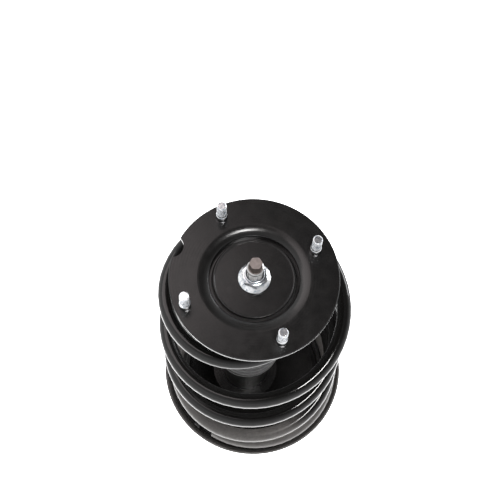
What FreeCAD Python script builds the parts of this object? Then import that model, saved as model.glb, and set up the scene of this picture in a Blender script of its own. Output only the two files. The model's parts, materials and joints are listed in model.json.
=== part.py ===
import FreeCAD, Part
import math
import os

# MacPherson strut assembly, millimetres.
# Origin: centre of the studs' circle on the top mount plate's upper face, with +Z up.
# Each piece is drawn about the rod's axis and then moved to where that axis stands.
# The spring is a side-load one: its line is bowed, and its foot and seat stand off the rod's axis.

# Rod's axis, off the centre of the studs' circle
ROD_AXIS_X = 2.8
ROD_AXIS_Y = 0.4

# Top mount plate
PLATE_RADIUS = 70.0
PLATE_SHEET = 3.0
OPENING_RADIUS = 37.2
SHOULDER_RADIUS = 15.0
SHOULDER_TILT = 36.0
LIP_RADIUS = 2.0
COLLAR_DEPTH = 12.0
NOTCH_AZIMUTH = 164.5
NOTCH_RADIUS = 9.5
NOTCH_DEPTH = 7.0
NOTCH_MOUTH_ROUND = 3.0

# Studs pressed into the plate
STUD_COUNT = 4
STUD_CIRCLE_RADIUS = 58.5
STUD_AZIMUTH = 30.3
STUD_RADIUS = 4.0
STUD_HEIGHT = 22.0
STUD_COLLAR_RADIUS = 4.6
STUD_COLLAR_HEIGHT = 5.0
STUD_KNURL_RADIUS = 4.9
STUD_HEAD_RADIUS = 6.5
STUD_HEAD_THICKNESS = 3.0
STUD_CHAMFER = 0.9

# Rubber mount and the rod's upper end
CUP_SHEET = 2.0
CUP_TOP = -8.0
CUP_WAIST_RADIUS = 30.0
CUP_FLOOR = -33.0
CUP_FLOOR_HOLE = 13.0
WASHER_RADIUS = 33.8
WASHER_TOP = -4.0
WASHER_SHEET = 2.5
WASHER_BEAD = 0.8
RUBBER_LIP_TOP = -9.5
SLEEVE_RADIUS = 10.0
NUT_FLANGE_RADIUS = 13.5
NUT_FLANGE_HEIGHT = 1.6
NUT_CONE_HEIGHT = 3.4
NUT_ACROSS_FLATS = 19.0
NUT_TURN = 44.0
NUT_HEX_TOP = 6.0
NUT_COLLAR_RADIUS = 8.3
NUT_COLLAR_TOP = 8.8
THREAD_RADIUS = 7.0
THREAD_GAP = 0.05
THREAD_TOP = 22.0
TIP_ACROSS_FLATS = 9.8
TIP_TOP = 31.5

# Piston rod and piston
ROD_RADIUS = 11.0
ROD_BOTTOM = -310.0
POST_RADIUS = 6.0
POST_BOTTOM = -345.0
DISC_STACK = 2.0
PISTON_HEIGHT = 18.0
PISTON_RADIUS = 15.4
PISTON_RING_RADIUS = 15.95
PISTON_RING_HEIGHT = 8.0
PISTON_NUT_ACROSS_FLATS = 17.0
PISTON_NUT_HEIGHT = 9.0
RUNNING_GAP = 0.05

# Strut bearing
RACE_INNER = 40.3
RACE_OUTER = 51.0
RACE_THICKNESS = 3.2
BALL_CIRCLE_RADIUS = 45.7
BALL_RADIUS = 2.2
BALL_COUNT = 26
GROOVE_GAP = 0.1
RACE_SPACING = 2.8
CAGE_THICKNESS = 1.6
CAGE_HALF_WIDTH = 4.2
SHIELD_GAP = 0.3
SHIELD_WALL = 1.5

# Upper spring seat, boot and bump stop
SEAT_SHEET = 2.2
UPPER_SEAT_RADIUS = 61.0
UPPER_SEAT_LIP = 4.8
HUB_RADIUS = 33.2
HUB_BOTTOM = -34.0
UPPER_PAD_SKIRT_DEPTH = 10.0
UPPER_PAD_INNER = 42.5
UPPER_PAD_SKIRT = 3.0
BUMP_CUP_RADIUS = 24.0
BUMP_CUP_DEPTH = 12.0
BUMP_STOP_RADIUS = 20.0
BUMP_STOP_BOTTOM = -93.0
BUMP_STOP_BORE = 11.3
BUMP_STOP_WAISTS = 3
BUMP_STOP_WAIST_DEPTH = 4.0
BOOT_WALL = 1.6
BOOT_CREST_RADIUS = 31.5
BOOT_ROOT_RADIUS = 28.0
BOOT_BELLOWS_TOP = -38.0
BOOT_BELLOWS_BOTTOM = -204.0
BOOT_PLEATS = 15
BOOT_LIP_THICKNESS = 4.0

# Coil spring: right-handed, with a pigtail that tucks in under the upper seat
WIRE_RADIUS = 6.5
COIL_RADIUS = 79.0
PIGTAIL_RADIUS = 53.0
SPRING_TURNS = 4.52
SPRING_PITCH = 69.0
SPRING_BOTTOM = -261.0
PITCH_RAMP_TURNS = 1.0
BOTTOM_FLAT_TURNS = 0.12
TOP_FLAT_TURNS = 0.10
PIGTAIL_START_TURN = 3.80
PIGTAIL_TURNS = 0.42
LOWER_TIP_AZIMUTH = -116.0
TOP_OFFSET_X = 4.4
TOP_OFFSET_Y = 0.4
BOW_X = -2.5
BOW_Y = -3.5
FOOT_X = 9.1
FOOT_Y = -5.9
STATIONS_PER_TURN = 28

# Lower spring seat
SEAT_OFFSET_X = 7.7
SEAT_OFFSET_Y = -4.0
PAN_SHEET = 2.5
PAN_RADIUS = 92.6
PAN_FLOOR_OUTER = 85.5
PAN_LIP = 4.5
PAN_LIP_ROUND = 1.1
PAN_CONE_TOP_RADIUS = 64.0
PAN_CONE_BOTTOM_RADIUS = 34.0
PAN_CONE_DEPTH = 17.0
PAN_CONE_WALL = 5.0
PAN_COLLAR_DEPTH = 16.0
PAN_COLLAR_WALL = 3.0
LOWER_PAD_THICKNESS = 3.5
LOWER_PAD_INNER = 68.5
LOWER_PAD_OUTER = 83.0
LOWER_PAD_GUIDE = 3.6
LOWER_PAD_GUIDE_HEIGHT = 8.0
END_STOP_AZIMUTH = -125.5
END_STOP_LENGTH = 7.0
END_STOP_WIDTH = 14.0
END_STOP_HEIGHT = 9.0

# Strut tube and what it holds
TUBE_RADIUS = 24.0
TUBE_WALL = 2.5
TUBE_TOP = -187.0
TUBE_BOTTOM = -506.0
CAP_SHEET = 1.6
CAP_DEPTH = 13.0
CAP_HOLE_RADIUS = 12.0
SEAL_HEIGHT = 5.0
GUIDE_BOTTOM = -215.0
SPIGOT_DEPTH = 5.0
BUSH_WALL = 1.25
CYLINDER_RADIUS = 17.5
CYLINDER_WALL = 1.5
CYLINDER_BOTTOM = -490.0
BUMPER_RADIUS = 15.0
BUMPER_HEIGHT = 9.0
RETAINER_RADIUS = 14.0
RETAINER_HEIGHT = 4.0
BASE_VALVE_HEIGHT = 8.0
BASE_VALVE_FLANGE = 4.0
BASE_CAP_THICKNESS = 6.0

# Brackets welded to the tube
EAR_THICKNESS = 4.5
EAR_GAP = 34.0
EAR_REACH = 73.0
EAR_CORNER = 12.0
EAR_EDGE = 0.8
EAR_SHOULDER_REACH = 34.0
EAR_SHOULDER_DROP = 9.0
EAR_PAD_RADIUS = 13.0
EAR_PAD_HEIGHT = 1.0
BRACKET_TOP = -418.0
BRACKET_BOTTOM = -522.0
SADDLE_TOP = -426.0
SADDLE_BOTTOM = -500.0
KNUCKLE_BOLT_RADIUS = 7.1
KNUCKLE_BOLT_Y = 55.0
KNUCKLE_BOLT_UPPER = -438.0
KNUCKLE_BOLT_LOWER = -502.0
LINK_TAB_HEIGHT = -370.0
LINK_TAB_THICKNESS = 5.0
LINK_TAB_RADIUS = 14.0
LINK_TAB_REACH = 46.0
LINK_HOLE_RADIUS = 5.25
HOSE_TAB_HEIGHT = -352.0
HOSE_TAB_THICKNESS = 2.5
HOSE_TAB_RADIUS = 10.0
HOSE_TAB_REACH = 42.0
HOSE_HOLE_RADIUS = 4.5
TAB_ROOT = 18.0

# Heights that follow from the sizes above
RACE_TOP = -COLLAR_DEPTH
BALL_PLANE = RACE_TOP - RACE_THICKNESS - RACE_SPACING / 2
LOWER_RACE_TOP = RACE_TOP - RACE_THICKNESS - RACE_SPACING
UPPER_SEAT_TOP = LOWER_RACE_TOP - RACE_THICKNESS
WASHER_BOTTOM = WASHER_TOP - WASHER_SHEET
SLEEVE_BOTTOM = CUP_FLOOR + CUP_SHEET
BUMP_CUP_FLOOR = CUP_FLOOR - CUP_SHEET
SPRING_RISE = SPRING_PITCH * (
    SPRING_TURNS - BOTTOM_FLAT_TURNS - TOP_FLAT_TURNS - PITCH_RAMP_TURNS)
SPRING_TOP = SPRING_BOTTOM + SPRING_RISE
UPPER_PAD_BOTTOM = SPRING_TOP + WIRE_RADIUS
PAN_FLOOR = SPRING_BOTTOM - WIRE_RADIUS - LOWER_PAD_THICKNESS
PAN_HUB = PAN_FLOOR - PAN_CONE_DEPTH
SEAL_BOTTOM = TUBE_TOP - SEAL_HEIGHT
TUBE_INNER = TUBE_RADIUS - TUBE_WALL
CYLINDER_INNER = CYLINDER_RADIUS - CYLINDER_WALL
SPIGOT_BOTTOM = GUIDE_BOTTOM - SPIGOT_DEPTH
BUMPER_BOTTOM = SPIGOT_BOTTOM - BUMPER_HEIGHT
PISTON_TOP = ROD_BOTTOM - DISC_STACK
PISTON_BOTTOM = PISTON_TOP - PISTON_HEIGHT
PISTON_NUT_TOP = PISTON_BOTTOM - DISC_STACK
UP = FreeCAD.Vector(0, 0, 1)
ROD_AXIS = FreeCAD.Vector(ROD_AXIS_X, ROD_AXIS_Y, 0)
SEAT_CENTRE = FreeCAD.Vector(SEAT_OFFSET_X, SEAT_OFFSET_Y, 0)
FOOT_CENTRE = FreeCAD.Vector(FOOT_X, FOOT_Y, 0)
ORIGIN = FreeCAD.Vector(0, 0, 0)


def at(radius, height):
    """A point of the r-z half plane."""
    return FreeCAD.Vector(radius, 0, height)


def turned(points, centre=ORIGIN):
    """A solid of revolution from a closed outline of (radius, height) points."""
    outline = [at(*point) for point in points]
    face = Part.Face(Part.makePolygon(outline + outline[:1]))
    solid = face.revolve(ORIGIN, UP, 360)
    solid.translate(centre)
    return solid


def ring(inner, outer, low, high, centre=ORIGIN):
    """A plain ring between two radii and two heights."""
    return turned([(inner, low), (outer, low), (outer, high), (inner, high)], centre)


def bent_path(points, bend):
    """Straight runs in the r-z half plane joined by tangent arcs of one radius."""
    corners = [at(*point) for point in points]
    edges = []
    start = corners[0]
    for before, corner, after in zip(corners, corners[1:], corners[2:]):
        back = (before - corner).normalize()
        ahead = (after - corner).normalize()
        half_angle = back.getAngle(ahead) / 2
        setback = bend / math.tan(half_angle)
        leave = corner + back * setback
        arrive = corner + ahead * setback
        inward = (back + ahead).normalize()
        middle = corner + inward * (bend / math.sin(half_angle) - bend)
        edges.append(Part.LineSegment(start, leave).toShape())
        edges.append(Part.Arc(leave, middle, arrive).toShape())
        start = arrive
    edges.append(Part.LineSegment(start, corners[-1]).toShape())
    return Part.Wire(edges)


def pressed(points, bend, sheet, centre=ORIGIN):
    """A dish pressed from sheet; the points follow its middle line."""
    middle = bent_path(points, bend)
    face = middle.makeOffset2D(sheet / 2, 0, True, True)
    other = middle.makeOffset2D(-sheet / 2, 0, True, True)
    solid = face.revolve(ORIGIN, UP, 360).fuse(other.revolve(ORIGIN, UP, 360)).removeSplitter()
    solid.translate(centre)
    return solid


def cylinder(radius, low, high, x=0.0, y=0.0):
    """An upright cylinder between two heights."""
    return Part.makeCylinder(radius, high - low, FreeCAD.Vector(x, y, low), UP)


def hexagon(across_flats, low, high, turn=0.0):
    """A hexagonal prism on the rod's axis."""
    corner_radius = across_flats / math.sqrt(3)
    corners = []
    for index in range(7):
        angle = math.radians(60 * index + turn)
        corners.append(FreeCAD.Vector(
            corner_radius * math.cos(angle), corner_radius * math.sin(angle), low))
    return Part.Face(Part.makePolygon(corners)).extrude(FreeCAD.Vector(0, 0, high - low))


def polar(radius, azimuth, height=0.0):
    """A point at a radius and an azimuth in degrees about the rod's axis."""
    angle = math.radians(azimuth)
    return FreeCAD.Vector(radius * math.cos(angle), radius * math.sin(angle), height)


def stud_places():
    """Centres of the evenly spaced studs, from the rod's axis."""
    step = 360 / STUD_COUNT
    circle = [
        polar(STUD_CIRCLE_RADIUS, STUD_AZIMUTH + step * index) for index in range(STUD_COUNT)]
    return [place - ROD_AXIS for place in circle]


def plate_notch():
    """What the rim notch removes: a round cut with rounded corners at its mouth."""
    low = -2 * PLATE_SHEET
    reach = PLATE_RADIUS + NOTCH_RADIUS - NOTCH_DEPTH
    near = PLATE_RADIUS - NOTCH_MOUTH_ROUND
    span = NOTCH_RADIUS + NOTCH_MOUTH_ROUND
    spread = math.degrees(math.acos((near ** 2 + reach ** 2 - span ** 2) / (2 * near * reach)))
    centre = polar(reach, NOTCH_AZIMUTH, low)
    notch = cylinder(NOTCH_RADIUS, low, PLATE_SHEET, centre.x, centre.y)
    for side in (-1, 1):
        azimuth = NOTCH_AZIMUTH + side * spread
        pivot = polar(near, azimuth, low)
        outside = polar(PLATE_RADIUS + NOTCH_MOUTH_ROUND, azimuth, low)
        corner = Part.Face(Part.makePolygon([pivot, outside, centre, pivot]))
        corner = corner.extrude(FreeCAD.Vector(0, 0, 3 * PLATE_SHEET))
        notch = notch.fuse(corner.cut(
            cylinder(NOTCH_MOUTH_ROUND, low, PLATE_SHEET, pivot.x, pivot.y)))
    return notch


def top_mount_plate():
    """Flat ring that curves down through a shallow shoulder and a tight lip into a collar."""
    tilt = math.radians(SHOULDER_TILT)
    lip_r = OPENING_RADIUS + LIP_RADIUS
    shoulder_r = lip_r + (SHOULDER_RADIUS - LIP_RADIUS) * math.sin(tilt)
    lip_z = (SHOULDER_RADIUS - LIP_RADIUS) * math.cos(tilt) - SHOULDER_RADIUS
    lip_middle = (tilt + math.pi / 2) / 2
    under = SHOULDER_RADIUS - PLATE_SHEET
    collar_outer = OPENING_RADIUS + PLATE_SHEET
    under_tilt = math.asin((shoulder_r - collar_outer) / under)
    edge_round = PLATE_SHEET / 4

    def shoulder(radius, angle):
        return at(
            shoulder_r - radius * math.sin(angle), radius * math.cos(angle) - SHOULDER_RADIUS)

    top_end = shoulder(SHOULDER_RADIUS, tilt)
    under_end = shoulder(under, under_tilt)
    lip_bend = at(
        lip_r - LIP_RADIUS * math.sin(lip_middle), lip_z + LIP_RADIUS * math.cos(lip_middle))
    edges = [
        Part.LineSegment(at(PLATE_RADIUS - edge_round, 0), at(shoulder_r, 0)),
        Part.Arc(at(shoulder_r, 0), shoulder(SHOULDER_RADIUS, tilt / 2), top_end),
        Part.Arc(top_end, lip_bend, at(OPENING_RADIUS, lip_z)),
        Part.LineSegment(at(OPENING_RADIUS, lip_z), at(OPENING_RADIUS, -COLLAR_DEPTH)),
        Part.LineSegment(at(OPENING_RADIUS, -COLLAR_DEPTH), at(collar_outer, -COLLAR_DEPTH)),
        Part.LineSegment(at(collar_outer, -COLLAR_DEPTH), under_end),
        Part.Arc(under_end, shoulder(under, under_tilt / 2), at(shoulder_r, -PLATE_SHEET)),
        Part.LineSegment(at(shoulder_r, -PLATE_SHEET), at(PLATE_RADIUS, -PLATE_SHEET)),
        Part.LineSegment(at(PLATE_RADIUS, -PLATE_SHEET), at(PLATE_RADIUS, -edge_round)),
        Part.LineSegment(at(PLATE_RADIUS, -edge_round), at(PLATE_RADIUS - edge_round, 0)),
    ]
    plate = Part.Face(Part.Wire([edge.toShape() for edge in edges])).revolve(ORIGIN, UP, 360)
    plate = plate.cut(plate_notch())
    for place in stud_places():
        plate = plate.cut(cylinder(
            STUD_KNURL_RADIUS, -PLATE_SHEET, PLATE_SHEET, place.x, place.y))
    return plate


def mount_studs():
    """Pressed-in studs: a head under the plate, a knurl in it, a collar, then the thread."""
    outline = [
        (0, -PLATE_SHEET - STUD_HEAD_THICKNESS),
        (STUD_HEAD_RADIUS, -PLATE_SHEET - STUD_HEAD_THICKNESS),
        (STUD_HEAD_RADIUS, -PLATE_SHEET),
        (STUD_KNURL_RADIUS, -PLATE_SHEET),
        (STUD_KNURL_RADIUS, 0),
        (STUD_COLLAR_RADIUS, 0),
        (STUD_COLLAR_RADIUS, STUD_COLLAR_HEIGHT),
        (STUD_RADIUS, STUD_COLLAR_HEIGHT + STUD_CHAMFER),
        (STUD_RADIUS, STUD_HEIGHT - STUD_CHAMFER),
        (STUD_RADIUS - STUD_CHAMFER, STUD_HEIGHT),
        (0, STUD_HEIGHT),
    ]
    return Part.makeCompound([turned(outline, place) for place in stud_places()])


def mount_cup():
    """Cup welded inside the plate's collar, which holds the rubber."""
    half = CUP_SHEET / 2
    waist = CUP_WAIST_RADIUS - half
    neck_drop = 7.0
    return pressed([
        (OPENING_RADIUS - half, CUP_TOP),
        (OPENING_RADIUS - half, -COLLAR_DEPTH - half),
        (waist, -COLLAR_DEPTH - half - neck_drop),
        (waist, CUP_FLOOR + half),
        (CUP_FLOOR_HOLE, CUP_FLOOR + half),
    ], CUP_SHEET, CUP_SHEET)


def mount_rubber():
    """Rubber between the inner sleeve and the cup, with a lip under the washer."""
    lip_radius = OPENING_RADIUS - CUP_SHEET - 0.3
    body_radius = CUP_WAIST_RADIUS - CUP_SHEET - 0.3
    neck_radius = WASHER_RADIUS - 3.0
    corner = 1.5
    return turned([
        (SLEEVE_RADIUS, SLEEVE_BOTTOM),
        (body_radius - corner, SLEEVE_BOTTOM),
        (body_radius, SLEEVE_BOTTOM + corner),
        (body_radius, -COLLAR_DEPTH - 6.5),
        (lip_radius, -COLLAR_DEPTH + 0.5),
        (lip_radius, RUBBER_LIP_TOP),
        (neck_radius, RUBBER_LIP_TOP),
        (neck_radius, WASHER_BOTTOM),
        (SLEEVE_RADIUS, WASHER_BOTTOM),
    ])


def inner_sleeve():
    """Steel sleeve clamped between the washer and the rod's shoulder."""
    return ring(THREAD_RADIUS + THREAD_GAP, SLEEVE_RADIUS, SLEEVE_BOTTOM, WASHER_BOTTOM)


def rebound_washer():
    """Large flat washer with a bead round its edge."""
    bead_width = 1.6
    return turned([
        (THREAD_RADIUS + THREAD_GAP, WASHER_BOTTOM),
        (WASHER_RADIUS - WASHER_BEAD, WASHER_BOTTOM),
        (WASHER_RADIUS, WASHER_BOTTOM + WASHER_BEAD),
        (WASHER_RADIUS, WASHER_TOP + WASHER_BEAD / 2),
        (WASHER_RADIUS - bead_width / 2, WASHER_TOP + WASHER_BEAD),
        (WASHER_RADIUS - bead_width, WASHER_TOP),
        (THREAD_RADIUS + THREAD_GAP, WASHER_TOP),
    ])


def rod_nut():
    """Flange nut with a plain locking collar on top."""
    flange_top = WASHER_TOP + NUT_FLANGE_HEIGHT
    hex_bottom = WASHER_TOP + NUT_FLANGE_HEIGHT / 2
    cone_radius = NUT_ACROSS_FLATS / 2
    flange = turned([
        (0, WASHER_TOP),
        (NUT_FLANGE_RADIUS, WASHER_TOP),
        (NUT_FLANGE_RADIUS, flange_top),
        (cone_radius, flange_top + NUT_CONE_HEIGHT),
        (0, flange_top + NUT_CONE_HEIGHT),
    ])
    corner_cut = 1.6
    rounding = turned([
        (0, hex_bottom),
        (NUT_ACROSS_FLATS, hex_bottom),
        (NUT_ACROSS_FLATS, NUT_HEX_TOP - NUT_ACROSS_FLATS / 2 + corner_cut),
        (NUT_ACROSS_FLATS / 2, NUT_HEX_TOP),
        (0, NUT_HEX_TOP),
    ])
    body = hexagon(NUT_ACROSS_FLATS, hex_bottom, NUT_HEX_TOP, NUT_TURN).common(rounding)
    collar_chamfer = 0.8
    collar = turned([
        (0, hex_bottom),
        (NUT_COLLAR_RADIUS, hex_bottom),
        (NUT_COLLAR_RADIUS, NUT_COLLAR_TOP - collar_chamfer),
        (NUT_COLLAR_RADIUS - collar_chamfer, NUT_COLLAR_TOP),
        (0, NUT_COLLAR_TOP),
    ])
    nut = flange.fuse(body).fuse(collar)
    return nut.cut(cylinder(THREAD_RADIUS + THREAD_GAP, WASHER_TOP, NUT_COLLAR_TOP))


def piston_rod():
    """Ground rod with a threaded upper end, a hexagonal tip and a post for the piston."""
    shaft = turned([
        (0, POST_BOTTOM),
        (POST_RADIUS, POST_BOTTOM),
        (POST_RADIUS, ROD_BOTTOM),
        (ROD_RADIUS, ROD_BOTTOM),
        (ROD_RADIUS, SLEEVE_BOTTOM),
        (THREAD_RADIUS, SLEEVE_BOTTOM),
        (THREAD_RADIUS, THREAD_TOP),
        (0, THREAD_TOP),
    ])
    chamfer = 1.2
    corner_radius = TIP_ACROSS_FLATS / math.sqrt(3)
    rounding = turned([
        (0, THREAD_TOP),
        (corner_radius, THREAD_TOP),
        (corner_radius, TIP_TOP - chamfer),
        (corner_radius - chamfer, TIP_TOP),
        (0, TIP_TOP),
    ])
    tip = hexagon(TIP_ACROSS_FLATS, THREAD_TOP, TIP_TOP).common(rounding)
    return shaft.fuse(tip)


def ball_track(radius):
    """A torus along the circle of ball centres."""
    return Part.makeTorus(BALL_CIRCLE_RADIUS, radius, FreeCAD.Vector(0, 0, BALL_PLANE), UP)


def bearing_race(top):
    """A flat race with a groove for the balls."""
    blank = ring(RACE_INNER, RACE_OUTER, top - RACE_THICKNESS, top)
    return blank.cut(ball_track(BALL_RADIUS + GROOVE_GAP))


def bearing_upper_race():
    return bearing_race(RACE_TOP)


def bearing_lower_race():
    return bearing_race(LOWER_RACE_TOP)


def ball_places():
    """Centres of the balls."""
    step = 360 / BALL_COUNT
    return [polar(BALL_CIRCLE_RADIUS, step * index, BALL_PLANE) for index in range(BALL_COUNT)]


def bearing_balls():
    return Part.makeCompound([Part.makeSphere(BALL_RADIUS, place) for place in ball_places()])


def bearing_cage():
    """Flat ring with a pocket for each ball."""
    low = BALL_PLANE - CAGE_THICKNESS / 2
    high = BALL_PLANE + CAGE_THICKNESS / 2
    cage = ring(
        BALL_CIRCLE_RADIUS - CAGE_HALF_WIDTH, BALL_CIRCLE_RADIUS + CAGE_HALF_WIDTH, low, high)
    for place in ball_places():
        cage = cage.cut(cylinder(BALL_RADIUS + GROOVE_GAP, low, high, place.x, place.y))
    return cage


def bearing_shield():
    """Dust shield that stands on the upper seat round the races."""
    inner = RACE_OUTER + SHIELD_GAP
    return ring(inner, inner + SHIELD_WALL, UPPER_SEAT_TOP, RACE_TOP - 1.0)


def upper_spring_seat():
    """Pressed seat with a turned-down edge and a hub that carries the boot."""
    half = SEAT_SHEET / 2
    return pressed([
        (UPPER_SEAT_RADIUS - half, UPPER_SEAT_TOP - UPPER_SEAT_LIP),
        (UPPER_SEAT_RADIUS - half, UPPER_SEAT_TOP - half),
        (HUB_RADIUS - half, UPPER_SEAT_TOP - half),
        (HUB_RADIUS - half, HUB_BOTTOM),
    ], SEAT_SHEET, SEAT_SHEET)


def upper_isolator():
    """Rubber pad over the spring's top turn, with a skirt inside it."""
    top = UPPER_SEAT_TOP - SEAT_SHEET
    low = UPPER_PAD_BOTTOM
    outer = UPPER_SEAT_RADIUS - SEAT_SHEET - 1.8
    skirt = UPPER_PAD_INNER + UPPER_PAD_SKIRT
    return turned([
        (UPPER_PAD_INNER, top),
        (outer, top),
        (outer, low),
        (skirt, low),
        (skirt, low - UPPER_PAD_SKIRT_DEPTH + UPPER_PAD_SKIRT),
        (UPPER_PAD_INNER, low - UPPER_PAD_SKIRT_DEPTH),
    ])


def bump_stop_cup():
    """Steel cup under the mount that holds the bump stop."""
    wall_inner = BUMP_CUP_RADIUS - CUP_SHEET
    return turned([
        (BUMP_STOP_BORE, BUMP_CUP_FLOOR),
        (wall_inner, BUMP_CUP_FLOOR),
        (wall_inner, CUP_FLOOR - BUMP_CUP_DEPTH),
        (BUMP_CUP_RADIUS, CUP_FLOOR - BUMP_CUP_DEPTH),
        (BUMP_CUP_RADIUS, CUP_FLOOR),
        (BUMP_STOP_BORE, CUP_FLOOR),
    ])


def bump_stop():
    """Foam bump stop with waists, tapered at its lower end."""
    length = BUMP_CUP_FLOOR - BUMP_STOP_BOTTOM
    taper = 6.0
    neck_radius = BUMP_CUP_RADIUS - CUP_SHEET - 0.2
    waist_half = 4.0
    step = (length - BUMP_CUP_DEPTH) / (BUMP_STOP_WAISTS + 1)
    outline = [
        (BUMP_STOP_BORE, BUMP_CUP_FLOOR),
        (neck_radius, BUMP_CUP_FLOOR),
        (neck_radius, BUMP_CUP_FLOOR - BUMP_CUP_DEPTH / 2),
        (BUMP_STOP_RADIUS, BUMP_CUP_FLOOR - BUMP_CUP_DEPTH / 2 - 2.0),
    ]
    for index in range(BUMP_STOP_WAISTS):
        middle = BUMP_CUP_FLOOR - BUMP_CUP_DEPTH - step * (index + 1)
        outline.append((BUMP_STOP_RADIUS, middle + waist_half))
        outline.append((BUMP_STOP_RADIUS - BUMP_STOP_WAIST_DEPTH, middle))
        outline.append((BUMP_STOP_RADIUS, middle - waist_half))
    outline.append((BUMP_STOP_RADIUS - taper, BUMP_STOP_BOTTOM))
    outline.append((BUMP_STOP_BORE, BUMP_STOP_BOTTOM))
    return turned(outline)


def dust_boot():
    """Pleated boot from the upper seat's hub down to a wide lip round the tube."""
    pleat = (BOOT_BELLOWS_TOP - BOOT_BELLOWS_BOTTOM) / BOOT_PLEATS
    collar_outer = HUB_RADIUS + BOOT_WALL
    outside = [
        (HUB_RADIUS, HUB_BOTTOM + 7.0),
        (collar_outer, HUB_BOTTOM + 7.0),
        (collar_outer, HUB_BOTTOM - BOOT_WALL),
        (BOOT_ROOT_RADIUS, BOOT_BELLOWS_TOP),
    ]
    inside = [
        (HUB_RADIUS, HUB_BOTTOM),
        (HUB_RADIUS - BOOT_WALL, HUB_BOTTOM - BOOT_WALL / 2),
        (BOOT_ROOT_RADIUS - BOOT_WALL, BOOT_BELLOWS_TOP),
    ]
    for index in range(BOOT_PLEATS):
        crest = BOOT_BELLOWS_TOP - pleat * (index + 0.5)
        root = BOOT_BELLOWS_TOP - pleat * (index + 1)
        outside.append((BOOT_CREST_RADIUS, crest))
        outside.append((BOOT_ROOT_RADIUS, root))
        inside.append((BOOT_CREST_RADIUS - BOOT_WALL, crest))
        inside.append((BOOT_ROOT_RADIUS - BOOT_WALL, root))
    lip_bottom = BOOT_BELLOWS_BOTTOM - BOOT_LIP_THICKNESS
    grip_bottom = lip_bottom - BOOT_LIP_THICKNESS
    lip = [
        (BOOT_CREST_RADIUS, BOOT_BELLOWS_BOTTOM - 1.0),
        (BOOT_CREST_RADIUS, lip_bottom),
        (BOOT_ROOT_RADIUS - BOOT_WALL, lip_bottom),
        (BOOT_ROOT_RADIUS - BOOT_WALL, grip_bottom),
        (TUBE_RADIUS, grip_bottom),
        (TUBE_RADIUS, BOOT_BELLOWS_BOTTOM),
    ]
    return turned(outside + lip + inside[::-1])


def smooth_step(value):
    """Rises from 0 to 1 with level ends."""
    held = min(max(value, 0.0), 1.0)
    return held * held * (3 - 2 * held)


def ramped(turn):
    """Turns climbed when the pitch grows evenly from zero over the ramp."""
    if turn <= 0:
        return 0.0
    if turn < PITCH_RAMP_TURNS:
        return turn * turn / (2 * PITCH_RAMP_TURNS)
    return turn - PITCH_RAMP_TURNS / 2


def spring_point(turn):
    """Middle of the wire, a number of turns above the lower tip."""
    level_off = SPRING_TURNS - TOP_FLAT_TURNS - PITCH_RAMP_TURNS
    climbed = ramped(turn - BOTTOM_FLAT_TURNS) - ramped(turn - level_off)
    height = SPRING_BOTTOM + SPRING_PITCH * climbed
    depth = (SPRING_TOP - height) / SPRING_RISE
    tucked = smooth_step((turn - PIGTAIL_START_TURN) / PIGTAIL_TURNS)
    radius = COIL_RADIUS + (PIGTAIL_RADIUS - COIL_RADIUS) * tucked
    place = polar(radius, LOWER_TIP_AZIMUTH + 360 * turn, height)
    bowed = 4 * depth * (1 - depth)
    place.x += TOP_OFFSET_X * (1 - tucked) + (FOOT_X - TOP_OFFSET_X) * depth ** 2 + BOW_X * bowed
    place.y += TOP_OFFSET_Y * (1 - tucked) + (FOOT_Y - TOP_OFFSET_Y) * depth ** 2 + BOW_Y * bowed
    return place


def coil_spring():
    """Round wire swept along a side-load spring line."""
    count = round(SPRING_TURNS * STATIONS_PER_TURN)
    points = [spring_point(SPRING_TURNS * index / count) for index in range(count + 1)]
    line = Part.BSplineCurve()
    line.interpolate(points)
    heading = line.tangent(line.FirstParameter)[0]
    section = Part.Wire([Part.makeCircle(WIRE_RADIUS, points[0], heading)])
    return Part.Wire([line.toShape()]).makePipeShell([section], True, True)


def round_loft(top_radius, bottom_radius):
    """A leaning cone from the seat's centre down to the rod's axis."""
    top = Part.Circle(SEAT_CENTRE + FreeCAD.Vector(0, 0, PAN_FLOOR), UP, top_radius)
    bottom = Part.Circle(FreeCAD.Vector(0, 0, PAN_HUB), UP, bottom_radius)
    wires = [Part.Wire([circle.toShape()]) for circle in (bottom, top)]
    return Part.makeLoft(wires, True, True)


def end_stop():
    """Block that the spring's lower tip bears against."""
    block = Part.makeBox(
        END_STOP_WIDTH, END_STOP_LENGTH, END_STOP_HEIGHT + PAN_SHEET,
        FreeCAD.Vector(COIL_RADIUS - END_STOP_WIDTH / 2, -END_STOP_LENGTH, PAN_FLOOR - PAN_SHEET))
    edges = [edge for edge in block.Edges if edge.BoundBox.ZMin > PAN_FLOOR + 1.0]
    block = block.makeFillet(2.0, edges)
    block.rotate(ORIGIN, UP, END_STOP_AZIMUTH)
    block.translate(FOOT_CENTRE)
    return block


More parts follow.
